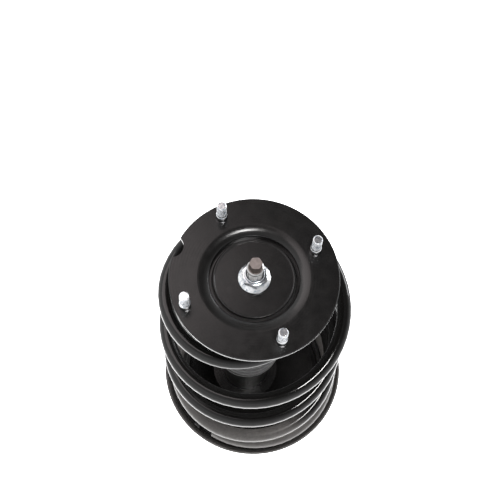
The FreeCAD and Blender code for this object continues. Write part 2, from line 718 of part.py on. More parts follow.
def lower_spring_seat():
    """Offset pan with a turned-up lip, a leaning cone and a collar on the tube."""
    half = PAN_SHEET / 2
    lip = pressed([
        (PAN_FLOOR_OUTER - PAN_SHEET, PAN_FLOOR - half),
        (PAN_RADIUS - half, PAN_FLOOR - half),
        (PAN_RADIUS - half, PAN_FLOOR + PAN_LIP),
    ], 2 * PAN_SHEET, PAN_SHEET, SEAT_CENTRE)
    lip_edges = [
        edge for edge in lip.Edges if edge.BoundBox.ZMin > PAN_FLOOR + PAN_LIP - PAN_LIP_ROUND]
    lip = lip.makeFillet(PAN_LIP_ROUND, lip_edges)
    floor = ring(
        PAN_CONE_TOP_RADIUS, PAN_FLOOR_OUTER, PAN_FLOOR - PAN_SHEET, PAN_FLOOR, SEAT_CENTRE)
    outer_cone = round_loft(
        PAN_CONE_TOP_RADIUS + PAN_CONE_WALL, PAN_CONE_BOTTOM_RADIUS + PAN_CONE_WALL)
    inner_cone = round_loft(PAN_CONE_TOP_RADIUS, PAN_CONE_BOTTOM_RADIUS)
    hub = cylinder(PAN_CONE_BOTTOM_RADIUS + PAN_CONE_WALL, PAN_HUB - PAN_SHEET, PAN_HUB)
    collar = cylinder(TUBE_RADIUS + PAN_COLLAR_WALL, PAN_HUB - PAN_COLLAR_DEPTH, PAN_HUB)
    pan = outer_cone.cut(inner_cone)
    for piece in (floor, lip, hub, collar, end_stop()):
        pan = pan.fuse(piece)
    bore = cylinder(TUBE_RADIUS, PAN_HUB - PAN_COLLAR_DEPTH, PAN_FLOOR)
    return pan.cut(bore).removeSplitter()


def lower_isolator():
    """Rubber pad under the bottom turn, with a guide rib inside it."""
    top = PAN_FLOOR + LOWER_PAD_THICKNESS
    guide = LOWER_PAD_INNER + LOWER_PAD_GUIDE
    pad = turned([
        (LOWER_PAD_INNER, PAN_FLOOR),
        (LOWER_PAD_OUTER, PAN_FLOOR),
        (LOWER_PAD_OUTER, top),
        (guide, top),
        (guide, PAN_FLOOR + LOWER_PAD_GUIDE_HEIGHT - 1.0),
        (guide - 1.0, PAN_FLOOR + LOWER_PAD_GUIDE_HEIGHT),
        (LOWER_PAD_INNER, PAN_FLOOR + LOWER_PAD_GUIDE_HEIGHT),
    ], FOOT_CENTRE)
    clearance = 0.6
    gap = Part.makeBox(
        2 * END_STOP_WIDTH, END_STOP_LENGTH + 2 * clearance, 2 * END_STOP_HEIGHT,
        FreeCAD.Vector(
            COIL_RADIUS - END_STOP_WIDTH / 2 - clearance,
            -END_STOP_LENGTH - clearance,
            PAN_FLOOR - END_STOP_HEIGHT / 2))
    gap.rotate(ORIGIN, UP, END_STOP_AZIMUTH)
    gap.translate(FOOT_CENTRE)
    return pad.cut(gap)


def strut_tube():
    return ring(TUBE_INNER, TUBE_RADIUS, TUBE_BOTTOM, TUBE_TOP)


def tube_cap():
    """Pressed cap over the tube's top, which the bump stop lands on."""
    outer = TUBE_RADIUS + CAP_SHEET
    return turned([
        (CAP_HOLE_RADIUS, TUBE_TOP),
        (TUBE_RADIUS, TUBE_TOP),
        (TUBE_RADIUS, TUBE_TOP - CAP_DEPTH),
        (outer, TUBE_TOP - CAP_DEPTH),
        (outer, TUBE_TOP + CAP_SHEET / 2),
        (outer - CAP_SHEET / 2, TUBE_TOP + CAP_SHEET),
        (CAP_HOLE_RADIUS, TUBE_TOP + CAP_SHEET),
    ])


def rod_seal():
    return ring(ROD_RADIUS + RUNNING_GAP, TUBE_INNER, SEAL_BOTTOM, TUBE_TOP)


def guide_bore():
    """Radius of the guide's bore, which holds the bush."""
    return ROD_RADIUS + RUNNING_GAP + BUSH_WALL


def rod_guide():
    """Guide at the tube's top with a spigot into the cylinder."""
    return turned([
        (guide_bore(), SPIGOT_BOTTOM),
        (CYLINDER_INNER, SPIGOT_BOTTOM),
        (CYLINDER_INNER, GUIDE_BOTTOM),
        (TUBE_INNER, GUIDE_BOTTOM),
        (TUBE_INNER, SEAL_BOTTOM),
        (guide_bore(), SEAL_BOTTOM),
    ])


def guide_bush():
    return ring(ROD_RADIUS + RUNNING_GAP, guide_bore(), SPIGOT_BOTTOM, SEAL_BOTTOM)


def pressure_cylinder():
    return ring(CYLINDER_INNER, CYLINDER_RADIUS, CYLINDER_BOTTOM, GUIDE_BOTTOM)


def rebound_bumper():
    """Elastomer ring on the rod that stops it at full extension."""
    return ring(ROD_RADIUS, BUMPER_RADIUS, BUMPER_BOTTOM, SPIGOT_BOTTOM)


def rebound_retainer():
    return ring(ROD_RADIUS, RETAINER_RADIUS, BUMPER_BOTTOM - RETAINER_HEIGHT, BUMPER_BOTTOM)


def disc_stack(top, widest):
    """Thin valve discs in a stack, each smaller than the one before."""
    count = 4
    sheet = DISC_STACK / count
    stack = ring(POST_RADIUS, widest, top - sheet, top)
    for index in range(1, count):
        radius = widest - index
        stack = stack.fuse(ring(POST_RADIUS, radius, top - sheet * (index + 1), top - sheet * index))
    return stack


def compression_discs():
    """Stack above the piston, widest against it."""
    stack = disc_stack(0, RETAINER_RADIUS)
    stack.rotate(ORIGIN, FreeCAD.Vector(1, 0, 0), 180)
    stack.translate(FreeCAD.Vector(0, 0, PISTON_TOP))
    return stack


def rebound_discs():
    return disc_stack(PISTON_BOTTOM, RETAINER_RADIUS)


def ring_groove():
    """Heights of the groove for the piston ring."""
    middle = (PISTON_TOP + PISTON_BOTTOM) / 2
    return middle - PISTON_RING_HEIGHT / 2, middle + PISTON_RING_HEIGHT / 2


def piston():
    """Sintered piston with oil ports and a groove for its ring."""
    low, high = ring_groove()
    groove_radius = PISTON_RADIUS - 1.2
    body = turned([
        (POST_RADIUS, PISTON_BOTTOM),
        (PISTON_RADIUS, PISTON_BOTTOM),
        (PISTON_RADIUS, low),
        (groove_radius, low),
        (groove_radius, high),
        (PISTON_RADIUS, high),
        (PISTON_RADIUS, PISTON_TOP),
        (POST_RADIUS, PISTON_TOP),
    ])
    port_count = 6
    port_radius = 1.3
    port_circle = 10.0
    for index in range(port_count):
        place = polar(port_circle, 360 / port_count * index)
        body = body.cut(cylinder(port_radius, PISTON_BOTTOM, PISTON_TOP, place.x, place.y))
    return body


def piston_ring():
    low, high = ring_groove()
    return ring(PISTON_RADIUS - 1.2, PISTON_RING_RADIUS, low, high)


def piston_nut():
    low = PISTON_NUT_TOP - PISTON_NUT_HEIGHT
    blank = hexagon(PISTON_NUT_ACROSS_FLATS, low, PISTON_NUT_TOP)
    return blank.cut(cylinder(POST_RADIUS, low, PISTON_NUT_TOP))


def base_valve():
    """Foot valve plugged into the cylinder's lower end."""
    flange_bottom = CYLINDER_BOTTOM - BASE_VALVE_FLANGE
    body = cylinder(CYLINDER_INNER, flange_bottom, CYLINDER_BOTTOM + BASE_VALVE_HEIGHT)
    flange = cylinder(CYLINDER_RADIUS, flange_bottom, CYLINDER_BOTTOM)
    valve = body.fuse(flange)
    port_count = 4
    port_radius = 1.5
    port_circle = 9.0
    for index in range(port_count):
        place = polar(port_circle, 360 / port_count * index)
        valve = valve.cut(cylinder(
            port_radius, flange_bottom, CYLINDER_BOTTOM + BASE_VALVE_HEIGHT, place.x, place.y))
    return valve


def base_cap():
    """Pressed cap welded into the tube's lower end."""
    rim_depth = 6.0
    top = CYLINDER_BOTTOM - BASE_VALVE_FLANGE
    return turned([
        (0, top),
        (TUBE_INNER, top),
        (TUBE_INNER, top - BASE_CAP_THICKNESS - rim_depth),
        (TUBE_INNER - 3.0, top - BASE_CAP_THICKNESS - rim_depth),
        (TUBE_INNER - 5.0, top - BASE_CAP_THICKNESS),
        (0, top - BASE_CAP_THICKNESS),
    ])


def knuckle_ear(side):
    """One ear of the clevis, with sloping ends and a raised pad round each bolt hole."""
    outline = [
        (0, BRACKET_TOP),
        (EAR_SHOULDER_REACH, BRACKET_TOP),
        (EAR_REACH, BRACKET_TOP - EAR_SHOULDER_DROP),
        (EAR_REACH, BRACKET_BOTTOM + EAR_SHOULDER_DROP / 2),
        (EAR_SHOULDER_REACH, BRACKET_BOTTOM),
        (0, BRACKET_BOTTOM + EAR_SHOULDER_REACH),
    ]
    inner = EAR_GAP / 2
    corners = [FreeCAD.Vector(inner, y, z) for y, z in outline]
    face = Part.Face(Part.makePolygon(corners + corners[:1]))
    ear = face.extrude(FreeCAD.Vector(EAR_THICKNESS, 0, 0))
    across = [
        edge for edge in ear.Edges
        if edge.BoundBox.XLength > EAR_THICKNESS / 2 and edge.BoundBox.YMin > TUBE_RADIUS
    ]
    ear = ear.makeFillet(EAR_CORNER, across)
    outer = inner + EAR_THICKNESS
    rim = [
        edge for edge in ear.Edges
        if edge.BoundBox.XMin > outer - EAR_EDGE and edge.BoundBox.YMax > TUBE_RADIUS
    ]
    ear = ear.makeFillet(EAR_EDGE, rim)
    for height in (KNUCKLE_BOLT_UPPER, KNUCKLE_BOLT_LOWER):
        start = FreeCAD.Vector(outer - EAR_PAD_HEIGHT, KNUCKLE_BOLT_Y, height)
        pad = Part.makeCone(
            EAR_PAD_RADIUS + EAR_PAD_HEIGHT, EAR_PAD_RADIUS - EAR_PAD_HEIGHT,
            2 * EAR_PAD_HEIGHT, start, FreeCAD.Vector(1, 0, 0))
        ear = ear.fuse(pad)
    return ear if side > 0 else ear.mirror(ORIGIN, FreeCAD.Vector(1, 0, 0))


def knuckle_bracket():
    """Clevis sheet wrapped round the tube, with two ears for the steering knuckle."""
    saddle = cylinder(TUBE_RADIUS + EAR_THICKNESS, SADDLE_BOTTOM, SADDLE_TOP)
    saddle = saddle.makeFillet(EAR_EDGE, saddle.Edges)
    gap = Part.makeBox(
        EAR_GAP, EAR_REACH, SADDLE_TOP - SADDLE_BOTTOM,
        FreeCAD.Vector(-EAR_GAP / 2, 0, SADDLE_BOTTOM))
    bracket = saddle.cut(gap).fuse(knuckle_ear(1)).fuse(knuckle_ear(-1))
    bracket = bracket.cut(cylinder(TUBE_RADIUS, BRACKET_BOTTOM, BRACKET_TOP))
    reach = EAR_GAP + 4 * EAR_THICKNESS
    for height in (KNUCKLE_BOLT_UPPER, KNUCKLE_BOLT_LOWER):
        start = FreeCAD.Vector(-reach / 2, KNUCKLE_BOLT_Y, height)
        bracket = bracket.cut(Part.makeCylinder(
            KNUCKLE_BOLT_RADIUS, reach, start, FreeCAD.Vector(1, 0, 0)))
    return bracket.removeSplitter()


def flat_tab(reach, radius, hole_radius, thickness):
    """A tab along +X with a round end and one hole, lying level at height zero."""
    blank = Part.makeBox(
        reach - TAB_ROOT, 2 * radius, thickness, FreeCAD.Vector(TAB_ROOT, -radius, -thickness / 2))
    blank = blank.fuse(cylinder(radius, -thickness / 2, thickness / 2, reach))
    return blank.cut(cylinder(hole_radius, -thickness, thickness, reach))


def link_bracket():
    """Upright tab for the stabiliser link."""
    tab = flat_tab(
        TUBE_RADIUS + LINK_TAB_REACH / 2, LINK_TAB_RADIUS, LINK_HOLE_RADIUS, LINK_TAB_THICKNESS)
    tab.rotate(ORIGIN, FreeCAD.Vector(1, 0, 0), 90)
    tab.rotate(ORIGIN, UP, 180)
    tab.translate(FreeCAD.Vector(0, 0, LINK_TAB_HEIGHT))
    return tab.cut(cylinder(
        TUBE_RADIUS, LINK_TAB_HEIGHT - LINK_TAB_REACH, LINK_TAB_HEIGHT + LINK_TAB_REACH))


def hose_bracket():
    """Level tab for the brake hose."""
    tab = flat_tab(HOSE_TAB_REACH, HOSE_TAB_RADIUS, HOSE_HOLE_RADIUS, HOSE_TAB_THICKNESS)
    tab.translate(FreeCAD.Vector(0, 0, HOSE_TAB_HEIGHT))
    return tab.cut(cylinder(
        TUBE_RADIUS, HOSE_TAB_HEIGHT - HOSE_TAB_RADIUS, HOSE_TAB_HEIGHT + HOSE_TAB_RADIUS))


PIECES = (
    top_mount_plate, mount_studs, mount_cup, mount_rubber, inner_sleeve, rebound_washer,
    rod_nut, piston_rod, bearing_upper_race, bearing_balls, bearing_cage, bearing_lower_race,
    bearing_shield, upper_spring_seat, upper_isolator, coil_spring, bump_stop_cup, bump_stop,
    dust_boot, lower_isolator, lower_spring_seat, strut_tube, tube_cap, rod_seal, rod_guide,
    guide_bush, pressure_cylinder, rebound_bumper, rebound_retainer, compression_discs,
    piston, piston_ring, rebound_discs, piston_nut, base_valve, base_cap, knuckle_bracket,
    link_bracket, hose_bracket,
)

os.makedirs("parts", exist_ok=True)
for piece in PIECES:
    shape = piece()
    shape.translate(ROD_AXIS)
    shape.exportStep(f"parts/{piece.__name__}.step")
    print(f"{piece.__name__}: {len(shape.Solids)} solid, {shape.Volume:.0f} mm3, {shape.isValid()}")
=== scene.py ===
import json
import math

import bpy
from mathutils import Matrix, Vector

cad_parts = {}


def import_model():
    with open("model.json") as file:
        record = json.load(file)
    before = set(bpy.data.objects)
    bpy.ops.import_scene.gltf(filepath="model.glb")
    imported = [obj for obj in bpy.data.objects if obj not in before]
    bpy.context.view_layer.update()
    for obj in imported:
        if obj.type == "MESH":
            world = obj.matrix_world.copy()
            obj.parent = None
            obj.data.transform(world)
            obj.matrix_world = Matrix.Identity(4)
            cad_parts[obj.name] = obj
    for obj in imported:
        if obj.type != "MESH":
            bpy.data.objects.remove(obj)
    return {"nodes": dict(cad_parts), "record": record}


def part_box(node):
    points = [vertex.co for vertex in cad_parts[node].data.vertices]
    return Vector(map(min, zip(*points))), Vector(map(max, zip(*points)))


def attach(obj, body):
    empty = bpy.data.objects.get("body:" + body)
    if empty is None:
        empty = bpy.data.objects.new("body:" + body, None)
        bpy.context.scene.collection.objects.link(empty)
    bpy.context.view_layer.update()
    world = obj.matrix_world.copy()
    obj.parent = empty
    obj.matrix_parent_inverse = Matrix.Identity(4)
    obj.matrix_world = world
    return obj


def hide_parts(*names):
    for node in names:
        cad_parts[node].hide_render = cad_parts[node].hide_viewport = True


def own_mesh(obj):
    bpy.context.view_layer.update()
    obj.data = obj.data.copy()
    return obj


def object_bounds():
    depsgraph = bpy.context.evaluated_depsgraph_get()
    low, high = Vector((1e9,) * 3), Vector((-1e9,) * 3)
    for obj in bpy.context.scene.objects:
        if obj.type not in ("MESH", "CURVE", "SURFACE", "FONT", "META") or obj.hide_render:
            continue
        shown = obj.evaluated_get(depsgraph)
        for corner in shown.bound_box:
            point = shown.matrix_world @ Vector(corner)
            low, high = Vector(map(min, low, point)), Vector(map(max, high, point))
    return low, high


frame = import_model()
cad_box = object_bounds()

# Suspension strut with a side-load coil spring, in metres, in the CAD model's frame:
# the origin is the centre of the studs' circle on the top plate's upper face, with +Z up.
# Pieces are drawn about the rod's axis and then moved to where that axis stands.

MM = 0.001
TURN = 2 * math.pi
NODES = frame["nodes"]

# Rod's axis
ROD_AXIS_X = 2.8 * MM
ROD_AXIS_Y = 0.4 * MM

# Camera, nearly overhead
CAMERA_AIM_X = 2.5 * MM
CAMERA_AIM_Y = -0.6 * MM
CAMERA_DISTANCE = 0.8
CAMERA_ELEVATION = math.radians(70.08)
CAMERA_PITCH = math.radians(68.48)
CAMERA_YAW = math.radians(-1.09)
CAMERA_ROLL = math.radians(4.83)
CAMERA_LENS = 70.89

# Floor, lit from within and brightest round the strut
FLOOR_HALF = 30.0
FLOOR_GAP = 1.0 * MM
GLOW_RADIUS = 0.65
GLOW_END = 1.5 * GLOW_RADIUS
GLOW_NEAR = 3.0
GLOW_FAR = 0.7

# Surroundings: grey tones at shares of the height, which is measured along a tilted axis
SKY_AXIS = (0.35, 0.0, 1.0)
SKY_TONES = ((0.40, 1.0), (0.52, 0.70), (0.72, 0.50), (0.85, 0.30), (0.93, 0.11))

# Threads, drawn in rows up each turn and faded out over their end turns
STUD_THREAD_PITCH = 1.25 * MM
STUD_THREAD_DEPTH = 0.65 * MM
ROD_THREAD_PITCH = 1.5 * MM
ROD_THREAD_DEPTH = 0.32 * MM
THREAD_ROWS = 8
THREAD_FLATNESS = 1.35
THREAD_FADE = 1.5

# Meshes: columns round a piece; steps in a rounded corner, and the most of a side it may take
STUD_COLUMNS = 40
TIP_COLUMNS = 96
ROD_COLUMNS = 72
ROUND_COLUMNS = 96
BOOT_COLUMNS = 128
FINE_COLUMNS = 144
BEND_STEPS = 5
LONGEST_SETBACK = 0.49

# Studs
STUD_COUNT = 4
STUD_CIRCLE_RADIUS = 58.5 * MM
STUD_AZIMUTH = math.radians(30.3)
STUD_RADIUS = 4.0 * MM
STUD_TOP = 22.0 * MM
STUD_CHAMFER = 0.75 * MM
STUD_COLLAR_RADIUS = 4.6 * MM
STUD_COLLAR_TOP = 5.0 * MM
STUD_KNURL_RADIUS = 4.9 * MM
STUD_HEAD_RADIUS = 6.5 * MM
STUD_HEAD_TOP = -3.0 * MM
STUD_HEAD_BOTTOM = -6.0 * MM

# Rod, nut and washer
WASHER_TOP = -4.0 * MM
WASHER_BOTTOM = -6.5 * MM
WASHER_RADIUS = 33.8 * MM
WASHER_BEAD = 0.5 * MM
NUT_FLANGE_RADIUS = 13.5 * MM
NUT_FLANGE_HEIGHT = 1.6 * MM
NUT_CONE_HEIGHT = 3.4 * MM
NUT_ACROSS_FLATS = 19.0 * MM
NUT_TURN = math.radians(14)
NUT_HEX_TOP = 6.0 * MM
NUT_COLLAR_RADIUS = 8.3 * MM
NUT_COLLAR_TOP = 8.8 * MM
NUT_CHAMFER_SLOPE = math.radians(30)
NUT_CRIMP_DEPTH = 0.25 * MM
NUT_LIP = 0.6 * MM
LIP_STEPS = 8
ROD_THREAD_RADIUS = 7.0 * MM
ROD_THREAD_TOP = 22.0 * MM
ROD_SHOULDER = -31.0 * MM
ROD_RADIUS = 11.0 * MM
ROD_BOTTOM = -310.0 * MM
POST_RADIUS = 6.0 * MM
POST_BOTTOM = -345.0 * MM
TIP_ACROSS_FLATS = 9.8 * MM
TIP_TOP = 31.5 * MM
TIP_SHOULDER_RADIUS = 6.0 * MM
TIP_TURN = math.radians(39)
TIP_CHAMFER = 0.55 * MM
TIP_CORNER_EASE = 0.35 * MM

# Paint, with the press marks in the top plate
BLACK = 0.006
PEEL_DEPTH = 0.012 * MM
RING_SPACING = 2.4 * MM
MARK_DEPTH = 0.02 * MM

# Lower seat, whose outer lip gets painted light
SEAT_CENTRE = (10.5 * MM, -3.6 * MM, 0.0)
SEAT_LIP_RADIUS = 90.4 * MM
SEAT_LIP_FADE = 4.0 * MM

# Boot and bump stop
BOOT_TOP = -27.0 * MM
BOOT_HUB_RADIUS = 33.2 * MM
BOOT_WALL = 1.6 * MM
BOOT_CREST_RADIUS = 31.5 * MM
BOOT_ROOT_RADIUS = 28.0 * MM
BELLOWS_TOP = -35.6 * MM
BELLOWS_BOTTOM = -204.0 * MM
BELLOWS_PLEATS = 15
PLEAT_ROWS = 12
PLEAT_COLUMNS = 120
PLEAT_FULLNESS = 0.8
PLEAT_WALL = 0.9 * MM
BOOT_SHOULDER = 2.4 * MM
BOOT_LIP = 4.0 * MM
TUBE_RADIUS = 24.0 * MM
BUMP_STOP_TOP = -35.0 * MM
BUMP_STOP_BOTTOM = -93.0 * MM
BUMP_STOP_RADIUS = 20.0 * MM
BUMP_STOP_BORE = 11.3 * MM
BUMP_STOP_NECK = 14.0 * MM
BUMP_STOP_NECK_RADIUS = 21.6 * MM
BUMP_STOP_LIP_RADIUS = 14.5 * MM
BUMP_STOP_WAISTS = 3
BUMP_STOP_WAIST_RADIUS = 15.6 * MM
BUMP_STOP_WAIST_STEP = 11.5 * MM
BUMP_STOP_WAIST_HALF = 4.4 * MM

# Coil spring
WIRE_RADIUS = 6.5 * MM
WIRE_SIDES = 36
COIL_RADIUS = 79.0 * MM
PIGTAIL_RADIUS = 53.0 * MM
SPRING_TURNS = 4.52
SPRING_PITCH = 69.0 * MM
SPRING_BOTTOM = -261.0 * MM
PITCH_RAMP_TURNS = 1.0
BOTTOM_FLAT_TURNS = 0.12
TOP_FLAT_TURNS = 0.10
PIGTAIL_START_TURN = 3.80
PIGTAIL_TURNS = 0.42
LOWER_TIP_AZIMUTH = math.radians(-116)
TOP_OFFSET_X = 4.4 * MM
TOP_OFFSET_Y = 0.4 * MM
BOW_X = -2.5 * MM
BOW_Y = -3.5 * MM
FOOT_X = 9.1 * MM
FOOT_Y = -5.9 * MM
SATIN_TURNS = 1.22
SATIN_FADE_TURNS = 0.08
SPRING_RISE = SPRING_PITCH * (
    SPRING_TURNS - BOTTOM_FLAT_TURNS - TOP_FLAT_TURNS - PITCH_RAMP_TURNS)
SPRING_TOP = SPRING_BOTTOM + SPRING_RISE
SPRING_STATIONS = 56

# Chamfered ends of the wire: turns in from the tip, and the share of full thickness there
END_TURNS = (0.0, 0.0008, 0.0018)
END_SHARES = (0.86, 0.95, 1.0)

# Welds, whose open ends taper over one ripple
BEAD_RADIUS = 2.0 * MM
BEAD_RIPPLE = 1.9 * MM
BEAD_STATIONS = 5
BEAD_SIDES = 10
BEAD_VALLEY = 0.88
BEAD_SWELL = 0.16
BEAD_BLUNTNESS = 0.3
SADDLE_DROP = 8.0 * MM
EAR_OFFSET = 17.0 * MM
LINK_OFFSET = 2.5 * MM


# ---------------------------------------------------------------- materials

class Finish:
    """A material built node by node round one Principled shader."""

    def __init__(self, name):
        self.material = bpy.data.materials.new(name)
        self.material.use_nodes = True
        self.tree = self.material.node_tree
        self.shader = self.tree.nodes["Principled BSDF"]
        self.place = self.add("ShaderNodeTexCoord").outputs["Object"]

    def add(self, kind, inputs=None, **settings):
        """A new node with its settings and its inputs, which are values or other sockets."""
        node = self.tree.nodes.new(kind)
        for key, value in settings.items():
            setattr(node, key, value)
        for key, value in (inputs or {}).items():
            self.feed(node.inputs[key], value)
        return node

    def feed(self, socket, value):
        """Gives an input a value, or links another socket to it."""
        if isinstance(value, bpy.types.NodeSocket):
            self.tree.links.new(value, socket)
        else:
            socket.default_value = value

    def set(self, **inputs):
        """Inputs of the Principled shader, with spaces written as underscores."""
        for key, value in inputs.items():
            self.feed(self.shader.inputs[key.replace("_", " ")], value)

    def noise(self, size, detail=3.0, stretch=(1, 1, 1)):
        """Noise from 0 to 1 whose spots are about size across."""
        mapped = self.add("ShaderNodeMapping", {"Vector": self.place, "Scale": stretch})
        return self.add("ShaderNodeTexNoise", {
            "Vector": mapped.outputs["Vector"], "Scale": 1 / size, "Detail": detail,
        }).outputs["Fac"]

    def cells(self, size):
        """Distance to the nearest of scattered points about size apart."""
        return self.add("ShaderNodeTexVoronoi", {
            "Vector": self.place, "Scale": 1 / size}).outputs["Distance"]

    def remap(self, value, low, high, to_low=0.0, to_high=1.0):
        """A value's stretch from low to high, mapped and held to another."""
        return self.add("ShaderNodeMapRange", {
            "Value": value, "From Min": low, "From Max": high,
            "To Min": to_low, "To Max": to_high}).outputs["Result"]

    def combine(self, operation, first, second):
        """Two values joined by a Math node's operation."""
        return self.add(
            "ShaderNodeMath", {0: first, 1: second}, operation=operation).outputs[0]

    def edges(self, width):
        """1 along convex and concave corners, 0 on open faces."""
        corner = self.add("ShaderNodeBevel", {"Radius": width}, samples=6)
        face = self.add("ShaderNodeNewGeometry").outputs["Normal"]
        dot = self.add("ShaderNodeVectorMath", {
            0: corner.outputs["Normal"], 1: face}, operation="DOT_PRODUCT")
        return self.remap(dot.outputs["Value"], 0.97, 0.80)

    def creases(self, reach):
        """1 deep in inside corners, 0 on open faces: a mask for painted shade."""
        open_sky = self.add("ShaderNodeAmbientOcclusion", {"Distance": reach}, samples=8)
        return self.remap(open_sky.outputs["AO"], 0.95, 0.45)

    def blend(self, share, first, second):
        """Two colours mixed by a share from 0 to 1."""
        node = self.add("ShaderNodeMix", data_type="RGBA")
        self.feed(node.inputs[0], share)
        self.feed(node.inputs[6], first)
        self.feed(node.inputs[7], second)
        return node.outputs[2]

    def relief(self, *layers):
        """Bump layers, each a height from 0 to 1 and its depth."""
        normal = None
        for height, depth in layers:
            inputs = {"Height": height, "Distance": depth, "Strength": 1.0}
            if normal is not None:
                inputs["Normal"] = normal
            normal = self.add("ShaderNodeBump", inputs).outputs["Normal"]
        self.feed(self.shader.inputs["Normal"], normal)


def grey(value, warmth=0.0):
    """An RGBA grey, warmer above 0 and cooler below."""
    return (value * (1 + warmth), value, value * (1 - warmth), 1.0)


def satin(paint, body, rough, where, low, high, dull):
    """The body and roughness turned to a patchy satin where a share from 0 to 1 says so; the
    lighter satin colour is partly painted light.
    """
    patchy = paint.remap(paint.noise(6 * MM, 4.0), 0.2, 0.6, 0.75, 1.0)
    share = paint.combine("MULTIPLY", where, patchy)
    wear_and_painted_light = paint.blend(paint.noise(2 * MM, 4.0), low, high)
    result = paint.add("ShaderNodeMix", {0: share, 2: rough, 3: dull}, data_type="FLOAT")
    return paint.blend(share, body, wear_and_painted_light), result.outputs[0]


def satin_turn(paint, body, rough):
    """The spring's lowest turn, scuffed to a brownish satin where it works on its seat; its lighter
    tone is partly painted light, standing in for a lamp from the front right.
    """
    scuffed_and_painted_light = paint.add("ShaderNodeAttribute", attribute_name="scuffed_and_painted_light").outputs["Fac"]
    # Lighter brownish tones, partly painted light standing in for a lamp from the front right.
    return satin(paint, body, rough, scuffed_and_painted_light, grey(0.075, 0.07), grey(0.140, 0.05), 0.38)


def satin_lip(paint, body, rough):
    """The lower seat's outer lip, dulled by grit and lightened with painted light where light from
    the front right falls on it.
    """
    offset = paint.add("ShaderNodeVectorMath", {
        0: paint.place, 1: SEAT_CENTRE}, operation="SUBTRACT")
    sideways = paint.add("ShaderNodeVectorMath", {
        0: offset.outputs["Vector"], 1: (1, 1, 0)}, operation="MULTIPLY")
    reach = paint.add("ShaderNodeVectorMath", {
        0: sideways.outputs["Vector"]}, operation="LENGTH").outputs["Value"]
    lip = paint.remap(reach, SEAT_LIP_RADIUS - SEAT_LIP_FADE, SEAT_LIP_RADIUS)
    # Painted light: a lighter grey on the lip, standing in for light falling from the front right.
    return satin(paint, body, rough, lip, grey(0.110, 0.05), grey(0.180, 0.03), 0.42)


def press_marks(paint):
    """Faint uneven rings about the plate's middle, left by the press."""
    offset = paint.add("ShaderNodeVectorMath", {
        0: paint.place, 1: (ROD_AXIS_X, ROD_AXIS_Y, 0)}, operation="SUBTRACT")
    rings = paint.add("ShaderNodeTexWave", {
        "Vector": offset.outputs["Vector"], "Scale": 0.32 / RING_SPACING, "Distortion": 2.0,
        "Detail": 3.0, "Detail Scale": 0.3,
    }, wave_type="RINGS", rings_direction="Z").outputs["Fac"]
    patchy = paint.remap(paint.noise(30 * MM, 2.0), 0.4, 0.65)
    return paint.combine("MULTIPLY", rings, patchy)


def painted(name, tone, rough_low, rough_high, peel, scuffed_and_painted_light=None, marks=None):
    """Black coat with a faint orange peel, a little dust and rubbed edges.

    A scuff function, where given, turns some of the body to a lighter satin that is partly painted
    light, and dulls its roughness.
    Marks, where given, is a function that returns the height of extra relief.
    """
    paint = Finish(name)
    cloud = paint.noise(18 * MM, 4.0)
    dust = paint.remap(paint.noise(1.6 * MM, 2.0), 0.68, 0.80)
    body = paint.blend(cloud, grey(tone * 0.8, 0.02), grey(tone * 1.25, 0.06))
    dusted = paint.blend(paint.combine("MULTIPLY", dust, 0.06), body, grey(0.16, 0.05))
    rubbed = paint.combine(
        "MULTIPLY", paint.edges(0.4 * MM), paint.remap(paint.noise(4 * MM, 4.0), 0.45, 0.70))
    rough = paint.remap(paint.noise(9 * MM, 3.0), 0.3, 0.7, rough_low, rough_high)
    if scuffed_and_painted_light:
        dusted, rough = scuffed_and_painted_light(paint, dusted, rough)
    paint.set(
        Base_Color=paint.blend(paint.combine("MULTIPLY", rubbed, 0.40), dusted, grey(0.16, 0.04)),
        Roughness=rough,
        Specular_IOR_Level=0.5)
    layers = [(paint.noise(3.5 * MM, 1.0), peel)]
    if marks:
        layers.append((marks(paint), MARK_DEPTH))
    paint.relief(*layers)
    return paint.material


def zinc_plate():
    """Bright blue-white zinc with brushed grain, with painted shade darkening its inside corners.
    """
    zinc = Finish("zinc_plate")
    cloud = zinc.remap(zinc.noise(2.5 * MM, 4.0), 0.32, 0.54)
    grain = zinc.noise(0.5 * MM, 3.0, (1, 1, 0.2))
    colour = zinc.blend(cloud, (0.54, 0.59, 0.65, 1), (0.94, 0.95, 0.96, 1))
    # Painted shade: inside corners, found by ambient occlusion, darkened towards blue-grey.
    crease_shaded = zinc.blend(zinc.creases(3 * MM), colour, (0.13, 0.16, 0.20, 1))
    zinc.set(
        Base_Color=zinc.blend(zinc.combine("MULTIPLY", zinc.edges(0.3 * MM), 0.3),
                              crease_shaded, (0.92, 0.93, 0.94, 1)),
        Metallic=1.0,
        Roughness=zinc.remap(grain, 0.3, 0.7, 0.13, 0.26))
    zinc.relief((grain, 0.02 * MM))
    return zinc.material


def bare_steel(name, tone, rough):
    """Rolled or turned steel with fine rings and a little oil stain."""
    steel = Finish(name)
    grain = steel.noise(0.4 * MM, 3.0, (0.15, 0.15, 1))
    stain = steel.noise(9 * MM, 4.0)
    steel.set(
        Base_Color=steel.blend(stain, grey(tone * 0.75, 0.03), grey(tone * 1.1, -0.01)),
        Metallic=1.0,
        Roughness=steel.remap(grain, 0.3, 0.7, rough * 0.8, rough * 1.25))
    steel.relief((grain, 0.015 * MM))
    return steel.material


